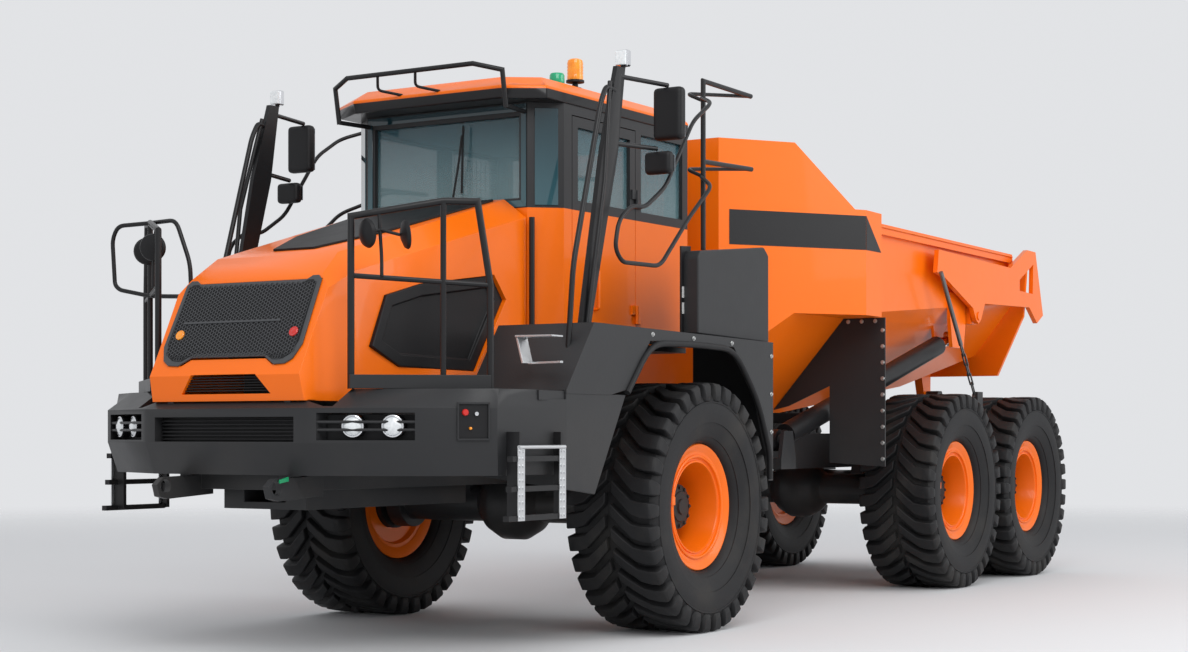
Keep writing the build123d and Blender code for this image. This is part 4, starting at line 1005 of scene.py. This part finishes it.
# Round mirrors on both handrails: convex glasses in black dishes, on a thin upright tube with a clamp.
# The far handrail also has a wide loop and a leg of the same bent tube.
stem_x = 2.514
stem = [(stem_x, 0.8125, 2.427), (stem_x, 0.8325, 2.180), (stem_x, 0.8325, 2.080)]
dish = [(0, 0), (0.004, 0.034), (0.020, 0.072), (0.034, 0.080), (0.040, 0.076), (0.036, 0.0)]
arm_share = 0.97
for side, side_name in both_sides:
    tube("mirror_stem_" + side_name, on_side(side, stem), 0.010, rail_paint)
    hold = Vector((stem_x, side * 0.822, 2.330))
    for number, (x, y, z, back, aside) in enumerate((
        (2.600, 0.770, 2.305, -0.90, 0.35),
        (2.470, 0.925, 2.300, -0.75, 0.62),
    )):
        tag = "%s_%d" % (side_name, number + 1)
        facing = Vector((back, side * aside, 0.12))
        place = at(x, side * y, z)
        round_piece("round_mirror_" + tag, dish, place, facing, 40, black_plastic)
        arm = [hold, hold + (Vector((x, side * y, z)) - hold) * arm_share]
        tube("round_mirror_arm_" + tag, arm, 0.009, rail_paint)
far_loop = [
    (2.300, -1.075, 2.488), (2.350, -1.279, 2.478), (2.350, -1.325, 2.400), (2.350, -1.304, 2.127),
    (2.350, -1.263, 2.096), (2.330, -1.034, 2.052), (2.350, -0.700, 2.037),
]
far_leg = [(2.300, -1.075, 2.488), (2.350, -0.811, 2.488), (2.350, -0.700, 2.230), (2.350, -0.690, 2.037)]
tube("far_rail_loop", far_loop, 0.013, rail_paint, 0.06)
tube("far_rail_leg", far_leg, 0.013, rail_paint, 0.06)

# Dump body: welded wear plate in orange with a rolled top rail and a plain black band, pointed at its
# rear end, along the shoulder on both sides. No name or number stands on it.
dressed("dump_body", orange_paint, edge=0.007)
dressed("tailgate", orange_paint, edge=0.006)
band_black = dusty_paint("black band film", (0.014, 0.014, 0.015), 0.35, dust=0.1)
band_low, band_high = 2.580, 2.828
band_off = 0.0004
band_film = 0.002
point_x, point_y = -2.4805, 1.4004
for side, side_name in both_sides:
    wall_out = Vector((0.5604, side * 0.8282, 0))
    front = (-1.545, side * 0.7674)
    rear = (-2.4785, side * 1.3990)
    corners = [(front, band_low), (rear, band_low), (rear, band_high), (front, band_high)]
    taper = [at(*place, z) + wall_out * band_off for place, z in corners]
    prism("body_band_" + side_name, taper, wall_out * band_film, band_black, 0.0, "bed")
    tips = [(point_x, band_high), (point_x, band_low), (-2.7450, band_low)]
    point = [at(x, side * point_y, z) for x, z in tips]
    name = "body_band_point_" + side_name
    prism(name, point, (0, side * band_film, 0), band_black, 0.0, "bed")
    rail_line = on_side(side, [(-2.990, 1.147, 2.842), (-6.200, 1.147, 2.818)])
    tube("body_top_rail_" + side_name, rail_line, 0.0065, orange_paint, body="bed")

# Bolts of the mudguard sheets and the fender skirts: zinc plated, with washers, in a row along each
# sheet's edge.
zinc = Finish("zinc plated steel", (0.55, 0.56, 0.55), 0.35, metallic=0.9)
zinc.put("Roughness", zinc.grain(60.0) * 0.2 + 0.28)
facing_forward = (0.0, 0.0, -math.pi / 2)
mudguard_face = -2.8195
side_bolts = [(1.380, 1.050 + 0.120 * number) for number in range(9)]
top_bolts = [(1.100 + 0.110 * number, 2.080) for number in range(3)]
places = []
for side in (1, -1):
    for y, z in side_bolts + top_bolts:
        places.append((at(mudguard_face, side * y, z), facing_forward))
repeated("mudguard_bolts", bolt_head(0.022, 0.010), places, zinc, "bed")
skirt_bolts = (
    (-0.855, 1.000), (-0.855, 1.250), (-0.855, 1.500), (-0.855, 1.750), (-0.300, 1.815), (0.200, 1.825),
    (0.700, 1.830),
)
for side, side_name in both_sides:
    places = [(at(x, side * 1.4502, z), facing_out[side]) for x, z in skirt_bolts]
    repeated("fender_bolts_" + side_name, bolt_head(0.020, 0.009), places, zinc, "front_unit")

# Wheel aprons and arches: a folded steel apron hangs from each fender's front down to the ladder, and a
# rolled lip runs round the arch. Screwed on beside them are the grab rail, the side box's panel with
# two blank labels, the plate over the walkway's gap, an aluminium step and the ladder's top bar.
label_white = Finish("blank label film", (0.62, 0.62, 0.61), 0.4)
label_tint = label_white.mixed(label_white.grain(20.0), (0.55, 0.55, 0.54, 1.0), (0.68, 0.68, 0.67, 1.0))
label_white.put("Base Color", label_tint)
apron = [(1.6480, 1.4700), (1.6480, 0.9300), (1.3450, 0.8950), (1.0050, 1.4650)]
apron_web = [(0.850, 1.4400), (0.850, 1.0000), (1.4460, 0.9300), (1.4460, 1.4400)]
arch = [
    (1.000, 1.452, 1.478), (0.728, 1.452, 1.776), (0.190, 1.452, 1.788), (-0.330, 1.452, 1.776),
    (-0.665, 1.452, 1.446), (-0.829, 1.452, 1.100), (-0.829, 1.452, 0.940),
]
grab = [
    (1.455, 1.335, 1.700), (1.400, 1.335, 2.200), (1.100, 1.335, 3.170), (1.040, 1.335, 3.270),
    (0.960, 1.340, 3.250),
]
box_panel = [(0.084, 2.412), (-0.040, 2.420), (-0.040, 1.865), (0.084, 1.867)]
label_high = 0.07
gap_plate = rectangle(1.645, 1.905, 1.424, 1.478)
step_parts = (
    # name, (y, z) outline, depth along X, edge
    ("tread", [(1.180, 1.788), (1.430, 1.786), (1.430, 1.776), (1.180, 1.776)], 0.110, 0.002),
    ("cheek", [(1.180, 1.776), (1.192, 1.776), (1.230, 1.632), (1.218, 1.632)], 0.100, 0.001),
    ("foot", [(1.218, 1.640), (1.430, 1.644), (1.430, 1.632), (1.218, 1.628)], 0.030, 0.001),
)
ladder_top = [(1.735, 1.494, 1.168), (2.185, 1.494, 1.168)]
for side, side_name in both_sides:
    side_plate("fender_apron_" + side_name, side, apron, 1.4285, 0.018, dark_paint, 0.003)
    cross_plate("fender_apron_web_" + side_name, side, apron_web, 1.6490, -0.012, dark_paint)
    tube("fender_lip_" + side_name, on_side(side, arch), 0.020, black_plastic, 0.16)
    tube("grab_rail_" + side_name, on_side(side, grab), 0.016, rail_paint, 0.09)
    side_plate("side_box_panel_" + side_name, side, box_panel, 1.285, 0.012, rail_paint)
    for number, height in enumerate((1.990, 2.090)):
        label = rectangle(0.076, 0.014, height, height + label_high)
        name = "blank_label_%s_%d" % (side_name, number + 1)
        side_plate(name, side, label, 1.2975, 0.001, label_white, 0.0)
    name = "walkway_gap_plate_" + side_name
    side_plate(name, side, gap_plate, 1.424, 0.012, dark_paint, 0.001)
    for part_name, part_line, depth, edge in step_parts:
        name = "step_%s_%s" % (part_name, side_name)
        cross_plate(name, side, part_line, 1.653, depth, bare_aluminium, edge)
    bar = on_side(side, ladder_top)
    tube("ladder_top_bar_" + side_name, bar, 0.011, bare_aluminium)

# Roof guard stays: two short bent tubes that hold the guard's front bar off the cab roof, welded to the
# bar and bolted to the roof's front edge.
for number, y in enumerate((-0.24, 0.05)):
    stay = [(1.180, y, 3.448), (1.140, y - 0.03, 3.372), (0.990, y + 0.06, 3.352)]
    tube("roof_guard_stay_%d" % (number + 1), stay, 0.009, rail_paint, 0.03)

# Engine, chains and cylinders: a plain cast block under the hood, steel chain, dark barrels and
# ground chrome rods.
iron = dusty_paint("engine iron", (0.05, 0.05, 0.05), 0.6)
chain_steel = Finish("chain steel", (0.20, 0.20, 0.20), 0.42, metallic=0.9)
chain_steel.put("Roughness", chain_steel.grain(24.0) * 0.3 + 0.3)
rod_chrome = Finish("rod chrome", (0.75, 0.76, 0.77), 0.12, metallic=1.0)
rod_chrome.put("Roughness", rod_chrome.grain(12.0) * 0.08 + 0.07)
dressed("engine_block", iron, edge=0.012)
for side_name in ("left", "right"):
    dressed("chain_" + side_name, chain_steel, edge=0.0015)
    for kind in ("hoist", "steering"):
        dressed("%s_barrel_%s" % (kind, side_name), rail_paint, edge=0.003)
        dressed("%s_rod_%s" % (kind, side_name), rod_chrome, edge=0.002)

# Studio: a pale floor and a pale backdrop that the camera sees, soft lamps, and the camera where
# the photograph was taken from, its frame shifted up as a view camera's is.
floor_half = 400
corners = [(-1, -1), (1, -1), (1, 1), (-1, 1)]
floor = bpy.data.meshes.new("floor")
floor.from_pydata([(floor_half * x, floor_half * y, 0) for x, y in corners], [], [(0, 1, 2, 3)])
floor_object = bpy.data.objects.new("floor", floor)
bpy.context.scene.collection.objects.link(floor_object)
floor_finish = Finish("pale floor", (0.70, 0.705, 0.715), 0.9)
reach_x = floor_finish.along("X")
reach_y = floor_finish.along("Y")
fade_from, fade_to = 60.0, 500.0
far_off = floor_finish.smooth_step(reach_x * reach_x + reach_y * reach_y, fade_from, fade_to)
floor_finish.put("Alpha", 1 - far_off)
floor.materials.append(floor_finish.material)

world = bpy.data.worlds.new("studio")
bpy.context.scene.world = world
world.use_nodes = True
backdrop = world.node_tree.nodes["Background"]
backdrop.inputs["Color"].default_value = (0.76, 0.77, 0.79, 1.0)
backdrop.inputs["Strength"].default_value = 1.0

for name, place, aim, size, power in (
    ("key lamp", (9.0, 6.0, 9.0), (0, 0, 1.5), 7.0, 620),
    ("side lamp", (-3.0, 12.0, 7.0), (-1, 0, 1.5), 8.0, 620),
):
    lamp_data = bpy.data.lights.new(name, "AREA")
    lamp_data.size = size
    lamp_data.energy = power
    lamp = bpy.data.objects.new(name, lamp_data)
    lamp.location = place
    lamp.rotation_euler = (Vector(aim) - Vector(place)).to_track_quat("-Z", "Y").to_euler()
    bpy.context.scene.collection.objects.link(lamp)

photo_width = 1188
photo_focal = 2007.3
photo_turn = 31.907
photo_lift = 107.1
photo_from = (12.9505, 7.460, 1.243)
film_width = 36.0
camera_data = bpy.data.cameras.new("camera")
camera_data.sensor_width = film_width
camera_data.lens = film_width * photo_focal / photo_width
camera_data.shift_y = photo_lift / photo_width
camera_data.clip_end = 200.0
camera = bpy.data.objects.new("camera", camera_data)
camera.location = photo_from
camera.rotation_euler = (math.radians(90), 0.0, math.radians(90 + photo_turn))
bpy.context.scene.collection.objects.link(camera)
bpy.context.scene.camera = camera

bpy.context.scene.view_settings.view_transform = "Standard"
